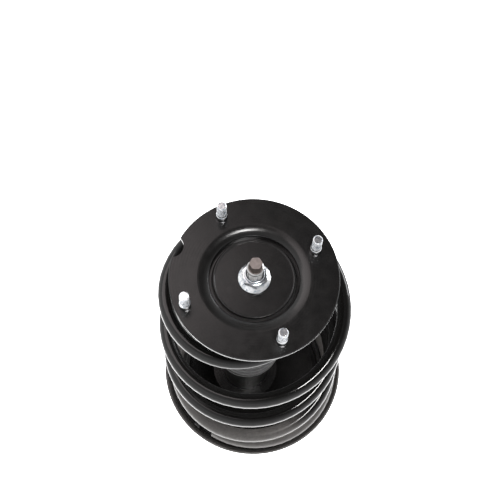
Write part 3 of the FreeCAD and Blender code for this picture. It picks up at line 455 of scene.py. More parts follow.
def rod_tip_finish():
    """Brown-grey phosphate on the bare hexagon, rubbed at its corners, with painted light and
    shade: lighter on its end face and darker on its flanks, by which way each faces.
    """
    tip = Finish("rod_tip_finish")
    cloud = tip.noise(2.5 * MM, 5.0)
    # Painted light and shade: faces that point up take the lighter end tone, side faces the darker
    # flank tone.
    faces = tip.add("ShaderNodeSeparateXYZ", {
        0: tip.add("ShaderNodeNewGeometry").outputs["Normal"]}).outputs["Z"]
    shaded_flank = tip.blend(cloud, (0.050, 0.038, 0.032, 1), (0.105, 0.085, 0.076, 1))
    end = tip.blend(cloud, (0.15, 0.125, 0.117, 1), (0.30, 0.255, 0.240, 1))
    body = tip.blend(tip.remap(faces, 0.3, 0.9), shaded_flank, end)
    tip.set(
        Base_Color=tip.blend(
            tip.combine("MULTIPLY", tip.edges(0.35 * MM), 0.7), body, (0.42, 0.38, 0.36, 1)),
        Metallic=0.35,
        Roughness=tip.remap(tip.noise(0.8 * MM), 0.3, 0.7, 0.48, 0.68))
    tip.relief((tip.noise(0.5 * MM, 3.0), 0.05 * MM))
    return tip.material


def polished_steel():
    """Hardened and ground steel for balls and valve discs."""
    ball = Finish("polished_steel")
    haze = ball.noise(1.5 * MM, 4.0)
    ball.set(
        Base_Color=ball.blend(haze, grey(0.62), grey(0.78, -0.01)),
        Metallic=1.0,
        Roughness=ball.remap(haze, 0.3, 0.7, 0.06, 0.16))
    ball.relief((haze, 0.004 * MM))
    return ball.material


def rubber():
    """Black rubber with a dull bloom and a fine moulded skin."""
    skin = Finish("rubber")
    bloom = skin.remap(skin.noise(6 * MM, 5.0), 0.45, 0.75)
    skin.set(
        Base_Color=skin.blend(
            skin.combine("MULTIPLY", bloom, 0.4), grey(0.014, 0.02), grey(0.045, 0.04)),
        Roughness=skin.remap(skin.noise(2 * MM), 0.3, 0.7, 0.55, 0.75),
        Specular_IOR_Level=0.4)
    skin.relief((skin.noise(0.5 * MM, 3.0), 0.05 * MM), (skin.noise(5 * MM), 0.15 * MM))
    return skin.material


def boot_plastic():
    """Satin thermoplastic rubber of the dust boot, scuffed grey on the pleats."""
    boot = Finish("boot_plastic")
    scuff = boot.remap(boot.noise(3 * MM, 5.0), 0.48, 0.72)
    boot.set(
        Base_Color=boot.blend(
            boot.combine("MULTIPLY", scuff, 0.5), grey(0.050, 0.0), grey(0.12, 0.01)),
        Roughness=boot.remap(boot.noise(5 * MM), 0.3, 0.7, 0.30, 0.46))
    boot.relief((boot.noise(0.7 * MM, 2.0), 0.04 * MM))
    return boot.material


def foam():
    """Cream microcellular polyurethane with open pores."""
    cell = Finish("foam")
    pores = cell.remap(cell.cells(0.9 * MM), 0.05, 0.5)
    stain = cell.noise(10 * MM, 4.0)
    cell.set(
        Base_Color=cell.blend(
            pores, (0.30, 0.24, 0.13, 1), cell.blend(
                stain, (0.62, 0.53, 0.33, 1), (0.52, 0.43, 0.25, 1))),
        Roughness=0.85,
        Subsurface_Weight=0.06,
        Subsurface_Scale=0.5 * MM)
    cell.relief((pores, 0.12 * MM))
    return cell.material


def moulded(name, first, second, rough):
    """Moulded plastic with a fine spark-eroded grain and flow marks."""
    plastic = Finish(name)
    flow = plastic.noise(12 * MM, 3.0, (1, 1, 3))
    plastic.set(
        Base_Color=plastic.blend(flow, first, second),
        Roughness=plastic.remap(plastic.noise(1 * MM), 0.3, 0.7, rough * 0.85, rough * 1.15))
    plastic.relief((plastic.noise(0.3 * MM, 2.0), 0.03 * MM))
    return plastic.material


def sintered_iron():
    """Grey sintered iron, grainy and faintly oily."""
    iron = Finish("sintered_iron")
    grains = iron.cells(0.35 * MM)
    iron.set(
        Base_Color=iron.blend(
            iron.remap(grains, 0.0, 0.6), grey(0.10, 0.03), grey(0.24, 0.02)),
        Metallic=0.7,
        Roughness=iron.remap(iron.noise(2 * MM), 0.3, 0.7, 0.42, 0.6))
    iron.relief((grains, 0.05 * MM))
    return iron.material


def bronze():
    """Lined bush: bronze with a darker running film."""
    bush = Finish("bronze")
    film = bush.noise(4 * MM, 4.0)
    bush.set(
        Base_Color=bush.blend(film, (0.42, 0.27, 0.12, 1), (0.62, 0.44, 0.22, 1)),
        Metallic=1.0,
        Roughness=bush.remap(film, 0.3, 0.7, 0.25, 0.42))
    bush.relief((bush.noise(0.4 * MM, 3.0), 0.02 * MM))
    return bush.material


def weld_metal():
    """Weld bead under the black coat, rougher than the sheet beside it."""
    bead = Finish("weld_metal")
    spatter = bead.remap(bead.noise(1.2 * MM, 3.0), 0.6, 0.75)
    bead.set(
        Base_Color=bead.blend(
            bead.combine("MULTIPLY", spatter, 0.3), grey(0.016, 0.02), grey(0.10, 0.05)),
        Roughness=bead.remap(bead.noise(2 * MM), 0.3, 0.7, 0.30, 0.5))
    bead.relief((bead.noise(0.8 * MM, 3.0), 0.08 * MM))
    return bead.material


MATERIALS = {
    "black_paint": painted("black_paint", BLACK, 0.18, 0.25, PEEL_DEPTH),
    "gloss_black_paint": painted("gloss_black_paint", BLACK, 0.12, 0.18, 0.010 * MM),
    "spring_paint": painted("spring_paint", 0.007, 0.06, 0.10, 0.003 * MM, satin_turn),
    "zinc": zinc_plate(),
    "steel": bare_steel("rolled_steel", 0.42, 0.34),
    "ground_rod": bare_steel("ground_rod", 0.60, 0.16),
    "bearing_steel": polished_steel(),
    "black_rubber": rubber(),
    "foam": foam(),
    "boot_plastic": boot_plastic(),
    "black_plastic": moulded("black_plastic", grey(0.018), grey(0.030, 0.02), 0.42),
    "white_plastic": moulded("natural_nylon", (0.62, 0.60, 0.53, 1), (0.74, 0.72, 0.66, 1), 0.4),
    "sintered_iron": sintered_iron(),
    "bronze": bronze(),
}
SPECIAL = {
    "top_mount_plate": painted("plate_paint", BLACK, 0.18, 0.25, PEEL_DEPTH, marks=press_marks),
    "strut_tube": painted("tube_paint", BLACK, 0.34, 0.44, PEEL_DEPTH),
    "lower_spring_seat": painted("seat_paint", BLACK, 0.18, 0.25, PEEL_DEPTH, satin_lip),
}
TIP_FINISH = rod_tip_finish()
BEAD_FINISH = weld_metal()


def finish_cad_nodes():
    """Gives every CAD node its own finish or that of its slot in the record."""
    for part in frame["record"]["subparts"]:
        slots = NODES[part["node"]].data.materials
        slots.clear()
        slots.append(SPECIAL.get(part["node"], MATERIALS[part["material_slot"]]))


# ---------------------------------------------------------------- mesh tools

def moved_to_axis(points):
    """Points drawn about the rod's axis, in the model's frame."""
    return [(x + ROD_AXIS_X, y + ROD_AXIS_Y, z) for x, y, z in points]


def piece(name, points, faces, slot, body, material=None, sharp=40):
    """A mesh object, drawn about the rod's axis, that rides on a body."""
    mesh = bpy.data.meshes.new(name)
    mesh.from_pydata(moved_to_axis(points), [], faces)
    mesh.validate()
    mesh.shade_smooth()
    mesh.set_sharp_from_angle(angle=math.radians(sharp))
    mesh.materials.append(material or MATERIALS[slot])
    item = bpy.data.objects.new(name, mesh)
    bpy.context.scene.collection.objects.link(item)
    item.modifiers.new("weighted", "WEIGHTED_NORMAL").keep_sharp = True
    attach(item, body)
    return item


def skin(rows, columns, centre=(0.0, 0.0), closed=False):
    """Points and faces over rows, each a function from an angle to (radius, height).

    A closed skin joins its last row to its first. An open one ends at points on the axis.
    """
    points = []
    rings = []
    for row in rows:
        if row(0.0)[0] == 0:
            rings.append([len(points)] * columns)
            points.append((centre[0], centre[1], row(0.0)[1]))
            continue
        rings.append(list(range(len(points), len(points) + columns)))
        for column in range(columns):
            angle = TURN * column / columns
            radius, height = row(angle)
            points.append((
                centre[0] + radius * math.cos(angle), centre[1] + radius * math.sin(angle), height))
    faces = []
    pairs = list(zip(rings, rings[1:]))
    if closed:
        pairs.append((rings[-1], rings[0]))
    for lower, upper in pairs:
        for column in range(columns):
            after = (column + 1) % columns
            corners = [lower[column], lower[after], upper[after], upper[column]]
            faces.append(tuple(dict.fromkeys(corners)))
    return points, faces


def level(outline):
    """Rows of a plain solid of revolution from (radius, height) points."""
    return [lambda angle, point=point: point for point in outline]


def softened(outline, closed=True):
    """An outline of (radius, height, bend) points with its corners rounded to their bends."""
    result = []
    count = len(outline)
    for index, (radius, height, bend) in enumerate(outline):
        corner = Vector((radius, height))
        if bend == 0 or (not closed and index in (0, count - 1)):
            result.append((radius, height))
            continue
        before = Vector(outline[index - 1][:2]) - corner
        after = Vector(outline[(index + 1) % count][:2]) - corner
        half = before.angle(after) / 2
        room = LONGEST_SETBACK * min(before.length, after.length)
        setback = min(bend / math.tan(half), room)
        start = corner + before.normalized() * setback
        end = corner + after.normalized() * setback
        for step in range(BEND_STEPS + 1):
            share = step / BEND_STEPS
            near = start.lerp(corner, share)
            far = corner.lerp(end, share)
            point = near.lerp(far, share)
            result.append((point.x, point.y))
    return result


def revolved(name, outline, slot, body, columns=ROUND_COLUMNS, sharp=40):
    """A ring with rounded corners, from a closed outline of (radius, height, bend)."""
    points, faces = skin(level(softened(outline)), columns, closed=True)
    return piece(name, points, faces, slot, body, sharp=sharp)


def thread_rows(radius, low, high, pitch, full_depth):
    """Rows of a right-hand thread that fades out at both ends."""
    count = round((high - low) / pitch * THREAD_ROWS)

    def row(height):
        into = min(height - low, high - height) / (THREAD_FADE * pitch)
        depth = full_depth * min(1.0, into)

        def at(angle):
            wave = THREAD_FLATNESS * math.cos(TURN * height / pitch - angle)
            return radius - depth * (0.5 - 0.5 * max(-1.0, min(1.0, wave))), height
        return at
    return [row(low + (high - low) * index / count) for index in range(count + 1)]


def hexagon_radius(across_flats, turn=0.0):
    """Radius of a hexagon as a function of the angle."""
    sixth = TURN / 6

    def at(angle):
        return across_flats / 2 / math.cos((angle - turn + sixth / 2) % sixth - sixth / 2)
    return at


# ---------------------------------------------------------------- pieces

def mount_studs():
    """Four M8 studs: head, plain collar, thread and chamfered end, in one mesh."""
    collar = [
        (0, STUD_HEAD_BOTTOM, 0),
        (STUD_HEAD_RADIUS, STUD_HEAD_BOTTOM, 0.5 * MM),
        (STUD_HEAD_RADIUS, STUD_HEAD_TOP, 0.3 * MM),
        (STUD_KNURL_RADIUS, STUD_HEAD_TOP, 0),
        (STUD_KNURL_RADIUS, -0.2 * MM, 0.1 * MM),
        (STUD_COLLAR_RADIUS, 0.1 * MM, 0),
        (STUD_COLLAR_RADIUS, STUD_COLLAR_TOP, 0.4 * MM),
        (STUD_RADIUS, STUD_COLLAR_TOP + 0.7 * MM, 0),
    ]
    end = [
        (STUD_RADIUS, STUD_TOP - STUD_CHAMFER, 0),
        (STUD_RADIUS - STUD_CHAMFER, STUD_TOP, 0.2 * MM),
        (0, STUD_TOP, 0),
    ]
    thread = thread_rows(
        STUD_RADIUS, STUD_COLLAR_TOP + 1.2 * MM, STUD_TOP - STUD_CHAMFER,
        STUD_THREAD_PITCH, STUD_THREAD_DEPTH)
    rows = level(softened(collar, closed=False)) + thread
    rows += level(softened(end, closed=False)[1:])
    points = []
    faces = []
    for index in range(STUD_COUNT):
        azimuth = STUD_AZIMUTH + TURN * index / STUD_COUNT
        centre = (
            STUD_CIRCLE_RADIUS * math.cos(azimuth) - ROD_AXIS_X,
            STUD_CIRCLE_RADIUS * math.sin(azimuth) - ROD_AXIS_Y)
        stud_points, stud_faces = skin(rows, STUD_COLUMNS, centre)
        shift = len(points)
        points += stud_points
        faces += [tuple(corner + shift for corner in face) for face in stud_faces]
    studs = piece("threaded_studs", points, faces, "zinc", "mount", sharp=55)
    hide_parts("mount_studs")


def rod_nut():
    """Flange nut with a domed hexagon and a crimped locking collar."""
    hexagon = hexagon_radius(NUT_ACROSS_FLATS, NUT_TURN)
    crown = NUT_ACROSS_FLATS / 2 - 0.2 * MM
    slope = math.tan(NUT_CHAMFER_SLOPE)
    flange_top = WASHER_TOP + NUT_FLANGE_HEIGHT
    cone_top = flange_top + NUT_CONE_HEIGHT

    def hex_foot(angle):
        radius = hexagon(angle)
        share = (radius - crown) / (NUT_FLANGE_RADIUS - crown)
        return radius, cone_top - share * (cone_top - flange_top)

    def hex_shoulder(angle):
        radius = hexagon(angle)
        return radius, NUT_HEX_TOP - (radius - crown) * slope

    def collar(radius, height):
        def at(angle):
            return radius - NUT_CRIMP_DEPTH * max(0.0, math.cos(3 * angle)) ** 6, height
        return at

    lower = softened([
        (ROD_THREAD_RADIUS, WASHER_TOP, 0),
        (NUT_FLANGE_RADIUS, WASHER_TOP, 0.4 * MM),
        (NUT_FLANGE_RADIUS, flange_top, 0.7 * MM),
        (NUT_FLANGE_RADIUS - 1.2 * MM, flange_top + 0.9 * MM, 0),
    ], closed=False)
    rows = level(lower)
    rows += [hex_foot, hex_shoulder]
    rows += level([(crown - 0.1 * MM, NUT_HEX_TOP), (NUT_COLLAR_RADIUS, NUT_HEX_TOP + 0.05 * MM)])
    rows.append(collar(NUT_COLLAR_RADIUS, NUT_HEX_TOP + 0.5 * MM))
    for step in range(LIP_STEPS + 1):
        angle = math.pi * step / LIP_STEPS
        rows.append(collar(
            NUT_COLLAR_RADIUS - NUT_LIP * (1 - math.cos(angle)),
            NUT_COLLAR_TOP - NUT_LIP * (1 - math.sin(angle))))
    rows += level([(ROD_THREAD_RADIUS, NUT_COLLAR_TOP - 1.4 * MM)])
    points, faces = skin(rows, FINE_COLUMNS, closed=True)
    nut = piece("flange_nut", points, faces, "zinc", "mount", sharp=28)
    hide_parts("rod_nut")


def piston_rod():
    """Ground rod down to the piston's post, with its M14 thread at the top."""
    lower = level(softened([
        (0, POST_BOTTOM, 0),
        (POST_RADIUS, POST_BOTTOM, 0.8 * MM),
        (POST_RADIUS, ROD_BOTTOM, 0),
        (ROD_RADIUS, ROD_BOTTOM, 0.6 * MM),
        (ROD_RADIUS, ROD_SHOULDER, 0.6 * MM),
        (ROD_THREAD_RADIUS, ROD_SHOULDER, 0),
        (ROD_THREAD_RADIUS, WASHER_TOP, 0),
    ], closed=False))
    thread = thread_rows(
        ROD_THREAD_RADIUS, WASHER_TOP + 1 * MM, ROD_THREAD_TOP - 0.9 * MM,
        ROD_THREAD_PITCH, ROD_THREAD_DEPTH)
    upper = level([
        (TIP_SHOULDER_RADIUS, ROD_THREAD_TOP - 0.05 * MM),
        (TIP_SHOULDER_RADIUS - 0.4 * MM, ROD_THREAD_TOP - 0.3 * MM),
        (0, ROD_THREAD_TOP - 0.3 * MM),
    ])
    points, faces = skin(lower + thread + upper, ROD_COLUMNS)
    rod = piece("threaded_rod", points, faces, "ground_rod", "mount", sharp=50)
    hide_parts("piston_rod")


def rod_tip():
    """Bare hexagon on the rod's end, for holding it still."""
    hexagon = hexagon_radius(TIP_ACROSS_FLATS, TIP_TURN)
    corner_limit = TIP_ACROSS_FLATS / math.sqrt(3) - TIP_CORNER_EASE

    def side(inset, height):
        def at(angle):
            return min(hexagon(angle), corner_limit) - inset, height
        return at

    rows = level([
        (0, ROD_THREAD_TOP - 0.4 * MM),
        (TIP_SHOULDER_RADIUS, ROD_THREAD_TOP - 0.4 * MM),
        (TIP_SHOULDER_RADIUS, ROD_THREAD_TOP - 0.12 * MM),
    ])
    rows += [
        side(-0.15 * MM, ROD_THREAD_TOP - 0.10 * MM),
        side(0.0, ROD_THREAD_TOP + 0.4 * MM),
        side(0.0, TIP_TOP - TIP_CHAMFER),
        side(TIP_CHAMFER / 3, TIP_TOP - TIP_CHAMFER / 3),
        side(TIP_CHAMFER, TIP_TOP),
    ]
    rows += level([(0, TIP_TOP)])
    points, faces = skin(rows, TIP_COLUMNS)
    piece("rod_tip", points, faces, "ground_rod", "mount", TIP_FINISH, sharp=30)


def rebound_washer():
    """Dished washer with a rolled bead round its rim."""
    washer = revolved("rolled_washer", [
        (ROD_THREAD_RADIUS + 0.1 * MM, WASHER_BOTTOM, 0.2 * MM),
        (WASHER_RADIUS, WASHER_BOTTOM, 1.0 * MM),
        (WASHER_RADIUS, WASHER_TOP + WASHER_BEAD, 0.6 * MM),
        (WASHER_RADIUS - 1.0 * MM, WASHER_TOP + WASHER_BEAD, 0.4 * MM),
        (WASHER_RADIUS - 1.6 * MM, WASHER_TOP, 0.4 * MM),
        (ROD_THREAD_RADIUS + 0.1 * MM, WASHER_TOP, 0.2 * MM),
    ], "black_paint", "mount", FINE_COLUMNS)
    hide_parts("rebound_washer")


def smooth_step(value):
    """Rises from 0 to 1 with level ends."""
    held = min(max(value, 0.0), 1.0)
    return held * held * (3 - 2 * held)


def ramped(turn):
    """Turns climbed when the pitch grows evenly from zero over the ramp."""
    if turn <= 0:
        return 0.0
    if turn < PITCH_RAMP_TURNS:
        return turn * turn / (2 * PITCH_RAMP_TURNS)
    return turn - PITCH_RAMP_TURNS / 2


def spring_point(turn):
    """Middle of the wire, a number of turns above the lower tip."""
    level_off = SPRING_TURNS - TOP_FLAT_TURNS - PITCH_RAMP_TURNS
    climbed = ramped(turn - BOTTOM_FLAT_TURNS) - ramped(turn - level_off)
    height = SPRING_BOTTOM + SPRING_PITCH * climbed
    depth = (SPRING_TOP - height) / SPRING_RISE
    tucked = smooth_step((turn - PIGTAIL_START_TURN) / PIGTAIL_TURNS)
    radius = COIL_RADIUS + (PIGTAIL_RADIUS - COIL_RADIUS) * tucked
    azimuth = LOWER_TIP_AZIMUTH + TURN * turn
    bowed = 4 * depth * (1 - depth)
    middle_x = (
        TOP_OFFSET_X * (1 - tucked) + (FOOT_X - TOP_OFFSET_X) * depth ** 2 + BOW_X * bowed)
    middle_y = (
        TOP_OFFSET_Y * (1 - tucked) + (FOOT_Y - TOP_OFFSET_Y) * depth ** 2 + BOW_Y * bowed)
    return (
        middle_x + radius * math.cos(azimuth), middle_y + radius * math.sin(azimuth), height)


def wire_modifier(item, material):
    """Gives a centreline mesh a round wire, so that it stays round when the line is squashed."""
    group = bpy.data.node_groups.new("round_wire", "GeometryNodeTree")
    group.interface.new_socket("Geometry", in_out="INPUT", socket_type="NodeSocketGeometry")
    group.interface.new_socket("Geometry", in_out="OUTPUT", socket_type="NodeSocketGeometry")
    add = group.nodes.new
    link = group.links.new
    source = add("NodeGroupInput")
    line = add("GeometryNodeMeshToCurve")
    section = add("GeometryNodeCurvePrimitiveCircle")
    section.inputs["Resolution"].default_value = WIRE_SIDES
    section.inputs["Radius"].default_value = WIRE_RADIUS
    share = add("GeometryNodeInputNamedAttribute")
    share.data_type = "FLOAT"
    share.inputs["Name"].default_value = "thickness"
    sweep = add("GeometryNodeCurveToMesh")
    sweep.inputs["Fill Caps"].default_value = True
    smooth = add("GeometryNodeSetShadeSmooth")
    paint = add("GeometryNodeSetMaterial")
    paint.inputs["Material"].default_value = material
    result = add("NodeGroupOutput")
    link(source.outputs[0], line.inputs["Mesh"])
    link(line.outputs["Curve"], sweep.inputs["Curve"])
    link(section.outputs["Curve"], sweep.inputs["Profile Curve"])
    link(share.outputs["Attribute"], sweep.inputs["Scale"])
    link(sweep.outputs["Mesh"], smooth.inputs["Geometry"])
    link(smooth.outputs["Geometry"], paint.inputs["Geometry"])
    link(paint.outputs["Geometry"], result.inputs[0])
    item.modifiers.new("round_wire", "NODES").node_group = group


def coil_spring():
    """Cold-wound side-load spring whose upper turn tucks in as a pigtail."""
    inner = round(SPRING_TURNS * SPRING_STATIONS)
    turns = list(END_TURNS)
    turns += [SPRING_TURNS * index / inner for index in range(1, inner)]
    turns += [SPRING_TURNS - turn for turn in reversed(END_TURNS)]
    shares = list(END_SHARES) + [1.0] * (inner - 1) + list(reversed(END_SHARES))
    mesh = bpy.data.meshes.new("wound_spring")
    mesh.from_pydata(
        moved_to_axis([spring_point(turn) for turn in turns]),
        [(index, index + 1) for index in range(len(turns) - 1)], [])
    mesh.attributes.new("thickness", "FLOAT", "POINT").data.foreach_set("value", shares)
    # Share of each point in the lowest turn: scuffed satin, lightened with painted light.
    scuffed_and_painted_light = [smooth_step((SATIN_TURNS - turn) / SATIN_FADE_TURNS) for turn in turns]
    mesh.attributes.new("scuffed_and_painted_light", "FLOAT", "POINT").data.foreach_set("value", scuffed_and_painted_light)
    mesh.materials.append(MATERIALS["spring_paint"])
    spring = bpy.data.objects.new("wound_spring", mesh)
    bpy.context.scene.collection.objects.link(spring)
    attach(spring, "spring_seat")
    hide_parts("coil_spring")
    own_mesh(spring)
    wire_modifier(spring, MATERIALS["spring_paint"])


def boot_collar():
    """Boot's mouth, which grips the upper seat's hub under a moulded band."""
    outer = BOOT_HUB_RADIUS + BOOT_WALL
    collar = revolved("boot_collar", [
        (BOOT_HUB_RADIUS, BOOT_TOP, 0.3 * MM),
        (outer, BOOT_TOP, 0.5 * MM),
        (outer, BELLOWS_TOP, 1.0 * MM),
        (BOOT_ROOT_RADIUS, BELLOWS_TOP - BOOT_SHOULDER, 0.4 * MM),
        (BOOT_ROOT_RADIUS - BOOT_WALL, BELLOWS_TOP - BOOT_SHOULDER, 0.4 * MM),
        (BOOT_HUB_RADIUS - BOOT_WALL, BELLOWS_TOP + 0.8 * MM, 0.3 * MM),
        (BOOT_HUB_RADIUS, BELLOWS_TOP + 1.6 * MM, 0.2 * MM),
    ], "boot_plastic", "spring_seat", BOOT_COLUMNS)
    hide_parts("dust_boot")


def boot_bellows():
    """Pleated wall of the boot, between its collar and its lip."""
    top = BELLOWS_TOP - BOOT_SHOULDER
    length = top - BELLOWS_BOTTOM
    pleat = length / BELLOWS_PLEATS

    def wall(inset):
        outline = []
        for index in range(BELLOWS_PLEATS * PLEAT_ROWS + 1):
            wave = 0.5 - 0.5 * math.cos(TURN * index / PLEAT_ROWS)
            rounded = wave ** PLEAT_FULLNESS
            radius = BOOT_ROOT_RADIUS + (BOOT_CREST_RADIUS - BOOT_ROOT_RADIUS) * rounded
            outline.append((radius - inset, top - pleat * index / PLEAT_ROWS))
        return outline

    points, faces = skin(
        level(wall(0.0) + wall(PLEAT_WALL)[::-1]), PLEAT_COLUMNS, closed=True)
    bellows = piece("boot_bellows", points, faces, "boot_plastic", "spring_seat", sharp=70)
    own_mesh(bellows)


def boot_lip():
    """Boot's heavy lower lip, which grips the strut tube."""
    low = BELLOWS_BOTTOM - BOOT_LIP
    revolved("boot_lip", [
        (TUBE_RADIUS, BELLOWS_BOTTOM, 0.4 * MM),
        (BOOT_ROOT_RADIUS, BELLOWS_BOTTOM, 0),
        (BOOT_CREST_RADIUS, BELLOWS_BOTTOM - 0.6 * MM, 1.0 * MM),
        (BOOT_CREST_RADIUS, low, 1.0 * MM),
        (BOOT_ROOT_RADIUS - BOOT_WALL, low, 0.6 * MM),
        (BOOT_ROOT_RADIUS - BOOT_WALL, low - BOOT_LIP, 0.8 * MM),
        (TUBE_RADIUS, low - BOOT_LIP, 0.3 * MM),
    ], "boot_plastic", "strut_body", BOOT_COLUMNS)


def bump_stop():
    """Foam stop with three rolled waists and a thin lower lip."""
    first = BUMP_STOP_TOP - BUMP_STOP_NECK
    outline = [
        (BUMP_STOP_BORE, BUMP_STOP_TOP, 0.5 * MM),
        (BUMP_STOP_NECK_RADIUS, BUMP_STOP_TOP, 1.0 * MM),
        (BUMP_STOP_NECK_RADIUS, BUMP_STOP_TOP - 6 * MM, 1.0 * MM),
        (BUMP_STOP_RADIUS, BUMP_STOP_TOP - 8 * MM, 1.0 * MM),
    ]
    for index in range(BUMP_STOP_WAISTS):
        middle = first - BUMP_STOP_WAIST_STEP * (index + 0.5)
        outline += [
            (BUMP_STOP_RADIUS, middle + BUMP_STOP_WAIST_HALF, 2.0 * MM),
            (BUMP_STOP_WAIST_RADIUS, middle, 2.2 * MM),
            (BUMP_STOP_RADIUS, middle - BUMP_STOP_WAIST_HALF, 2.0 * MM),
        ]
    outline += [
        (BUMP_STOP_LIP_RADIUS, BUMP_STOP_BOTTOM, 1.4 * MM),
        (BUMP_STOP_BORE, BUMP_STOP_BOTTOM, 0.6 * MM),
    ]
    stop = revolved("foam_bump_stop", outline, "foam", "mount", sharp=60)
    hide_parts("bump_stop")
    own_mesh(stop)


def bead(name, route, body, closed=False, radius=BEAD_RADIUS):
    """A weld bead with overlapping ripples along a route of points."""
    stations = len(route)
    points = []
    travelled = 0.0
    for index, spot in enumerate(route):
        after = route[(index + 1) % stations] if closed or index < stations - 1 else spot
        before = route[index - 1] if closed or index > 0 else spot
        heading = (after - before).normalized()
        across = heading.orthogonal().normalized()
        other = heading.cross(across)
        phase = (travelled / BEAD_RIPPLE) % 1.0
        swell = radius * (BEAD_VALLEY + BEAD_SWELL * math.sin(math.pi * phase))
        if not closed:
            into = min(index, stations - 1 - index) + BEAD_BLUNTNESS
            swell *= math.sqrt(min(1.0, into / BEAD_STATIONS))
        for side in range(BEAD_SIDES):
            angle = TURN * side / BEAD_SIDES
            points.append(spot + swell * (math.cos(angle) * across + math.sin(angle) * other))
        travelled += (after - spot).length
    faces = []
    for index in range(stations if closed else stations - 1):
        base = index * BEAD_SIDES
        ahead = (index + 1) % stations * BEAD_SIDES
        for side in range(BEAD_SIDES):
            beside = (side + 1) % BEAD_SIDES
            faces.append((base + side, base + beside, ahead + beside, ahead + side))
    if not closed:
        faces.append(tuple(reversed(range(BEAD_SIDES))))
        faces.append(tuple(range(len(points) - BEAD_SIDES, len(points))))
    piece(name, points, faces, "black_paint", body, BEAD_FINISH, sharp=60)


def bead_steps(length):
    """Steps that a bead of some length is drawn in."""
    return max(8, round(length / BEAD_RIPPLE * BEAD_STATIONS))


def arc(radius, height, start, end):
    """Closely spaced points along a level arc, from one azimuth in degrees to another."""
    count = bead_steps(radius * math.radians(abs(end - start)))
    result = []
    for index in range(count + 1):
        azimuth = math.radians(start + (end - start) * index / count)
        result.append(Vector((radius * math.cos(azimuth), radius * math.sin(azimuth), height)))
    return result


def run(start, end):
    """Closely spaced points along a straight line."""
    start = Vector(start)
    end = Vector(end)
    count = bead_steps((end - start).length)
    return [start.lerp(end, index / count) for index in range(count + 1)]


def welds():
    """Beads that join the seat, the brackets and the base cap to the tube."""
    seat_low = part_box("lower_spring_seat")[0].z
    bead("seat_weld", arc(TUBE_RADIUS + 1.2 * MM, seat_low, 0, 360)[:-1], "strut_body", True)
    bracket_low, bracket_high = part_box("knuckle_bracket")
    saddle_top = bracket_high.z - SADDLE_DROP
    bead("bracket_weld_upper", arc(TUBE_RADIUS + 1.6 * MM, saddle_top, 150, 390), "strut_body")
    for side in (-1, 1):
        name = "right" if side > 0 else "left"
        inner = EAR_OFFSET * side
        depth = math.sqrt(TUBE_RADIUS ** 2 - inner ** 2)
        bead(f"ear_weld_{name}", run(
            (inner, depth + 0.4 * MM, bracket_low.z + 22 * MM),
            (inner, depth + 0.4 * MM, saddle_top - 4 * MM)), "strut_body", radius=1.6 * MM)
    link_low, link_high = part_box("link_bracket")
    for side in (-1, 1):
        name = "front" if side < 0 else "back"
        offset = LINK_OFFSET * side
        reach = -math.sqrt(TUBE_RADIUS ** 2 - offset ** 2) - 0.6 * MM
        bead(f"link_weld_{name}", run(
            (reach, offset, link_low.z + 2 * MM), (reach, offset, link_high.z - 2 * MM)),
            "strut_body", radius=1.7 * MM)
    hose_low, hose_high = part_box("hose_bracket")
    for height, name in ((hose_low.z, "lower"), (hose_high.z, "upper")):
        bead(f"hose_weld_{name}", arc(TUBE_RADIUS + 0.5 * MM, height, -22, 22),
             "strut_body", radius=1.3 * MM)
    bead("base_weld", arc(TUBE_RADIUS - 2.0 * MM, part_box("strut_tube")[0].z, 0, 360)[:-1],
         "strut_body", True, 1.5 * MM)


# ---------------------------------------------------------------- studio

def floor():
    """White studio floor just below the strut's lowest point."""
    low = cad_box[0][2] - FLOOR_GAP
    half = FLOOR_HALF
    mesh = bpy.data.meshes.new("floor")
    mesh.from_pydata(
        [(-half, -half, low), (half, -half, low), (half, half, low), (-half, half, low)],
        [], [(0, 1, 2, 3)])
    white = Finish("floor_white")
    tone = white.remap(white.noise(0.4), 0.2, 0.8, 0.86, 0.90)
    reach = white.add("ShaderNodeVectorMath", {0: white.place}, operation="LENGTH")
    glow = white.remap(reach.outputs["Value"], GLOW_RADIUS, GLOW_END, GLOW_NEAR, GLOW_FAR)
    white.set(
        Base_Color=tone, Roughness=0.6, Emission_Color=(1, 1, 1, 1), Emission_Strength=glow)
    mesh.materials.append(white.material)
    item = bpy.data.objects.new("floor", mesh)
    bpy.context.scene.collection.objects.link(item)


def world():
    """Pale surroundings that darken towards the ceiling, sooner on the right."""
    scene_world = bpy.data.worlds.new("studio")
    bpy.context.scene.world = scene_world
    scene_world.use_nodes = True
    tree = scene_world.node_tree
    background = tree.nodes["Background"]
    direction = tree.nodes.new("ShaderNodeTexCoord")
    upward = tree.nodes.new("ShaderNodeVectorMath")
    upward.operation = "DOT_PRODUCT"
    upward.inputs[1].default_value = SKY_AXIS
    ramp = tree.nodes.new("ShaderNodeValToRGB")
    tree.links.new(direction.outputs["Generated"], upward.inputs[0])
    tree.links.new(upward.outputs["Value"], ramp.inputs["Fac"])
    tree.links.new(ramp.outputs["Color"], background.inputs["Color"])
    stops = ramp.color_ramp.elements
    stops[0].position = 0.0
    stops[0].color = (1.02, 1.02, 1.02, 1)
    stops[1].position = 1.0
    stops[1].color = (0.08, 0.08, 0.085, 1)
    for position, tone in SKY_TONES:
        stops.new(position).color = (tone, tone, tone * 1.01, 1)


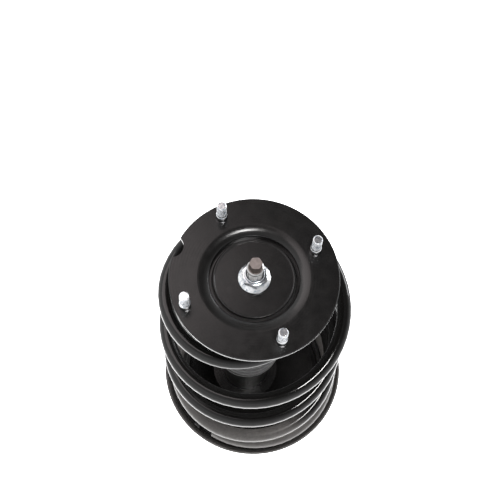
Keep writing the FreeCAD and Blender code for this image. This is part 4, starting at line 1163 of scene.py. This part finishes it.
def soft_light(name, place, target, width, height, power, colour):
    """A rectangular softbox aimed at a point, unseen by the camera."""
    light = bpy.data.lights.new(name, "AREA")
    light.shape = "RECTANGLE"
    light.size = width
    light.size_y = height
    light.energy = power
    light.color = colour
    item = bpy.data.objects.new(name, light)
    bpy.context.scene.collection.objects.link(item)
    heading = Vector(target) - Vector(place)
    item.location = place
    item.rotation_euler = heading.to_track_quat("-Z", "Y").to_euler()
    item.visible_camera = False


def lights():
    """Large softbox on the left, small one by the camera and a strip behind."""
    soft_light(
        "key_left", (-0.55, 0.36, 1.0), target=(0, 0, 0),
        width=0.8, height=1.0, power=4.0, colour=(1.0, 0.90, 0.90))
    soft_light(
        "flash", (0.17, -0.20, 1.0), target=(0, 0, 0),
        width=0.24, height=0.14, power=5.0, colour=(1.0, 0.98, 0.97))
    soft_light(
        "rim_back", (0.75, 0.72, 0.1), target=(0, 0, -0.1),
        width=0.9, height=0.25, power=6.0, colour=(0.97, 0.98, 1.0))


def camera():
    """Camera nearly overhead, a little to the front."""
    data = bpy.data.cameras.new("camera")
    data.lens = CAMERA_LENS
    data.sensor_width = 36
    data.clip_start = 0.01
    item = bpy.data.objects.new("camera", data)
    bpy.context.scene.collection.objects.link(item)
    forward = Vector((
        math.sin(CAMERA_YAW) * math.cos(CAMERA_PITCH),
        math.cos(CAMERA_YAW) * math.cos(CAMERA_PITCH),
        -math.sin(CAMERA_PITCH)))
    level_right = Vector((math.cos(CAMERA_YAW), -math.sin(CAMERA_YAW), 0))
    level_up = level_right.cross(forward)
    right = level_right * math.cos(CAMERA_ROLL) + level_up * math.sin(CAMERA_ROLL)
    up = level_up * math.cos(CAMERA_ROLL) - level_right * math.sin(CAMERA_ROLL)
    turn = Matrix((right, up, -forward)).transposed()
    place = Vector((
        CAMERA_AIM_X, CAMERA_AIM_Y - CAMERA_DISTANCE * math.cos(CAMERA_ELEVATION),
        CAMERA_DISTANCE * math.sin(CAMERA_ELEVATION)))
    item.matrix_world = Matrix.Translation(place) @ turn.to_4x4()
    bpy.context.scene.camera = item


# ---------------------------------------------------------------- scene

finish_cad_nodes()
mount_studs()
rod_nut()
piston_rod()
rod_tip()
rebound_washer()
coil_spring()
boot_collar()
boot_bellows()
boot_lip()
bump_stop()
welds()
floor()
world()
lights()
camera()
bpy.context.scene.view_settings.view_transform = "Standard"
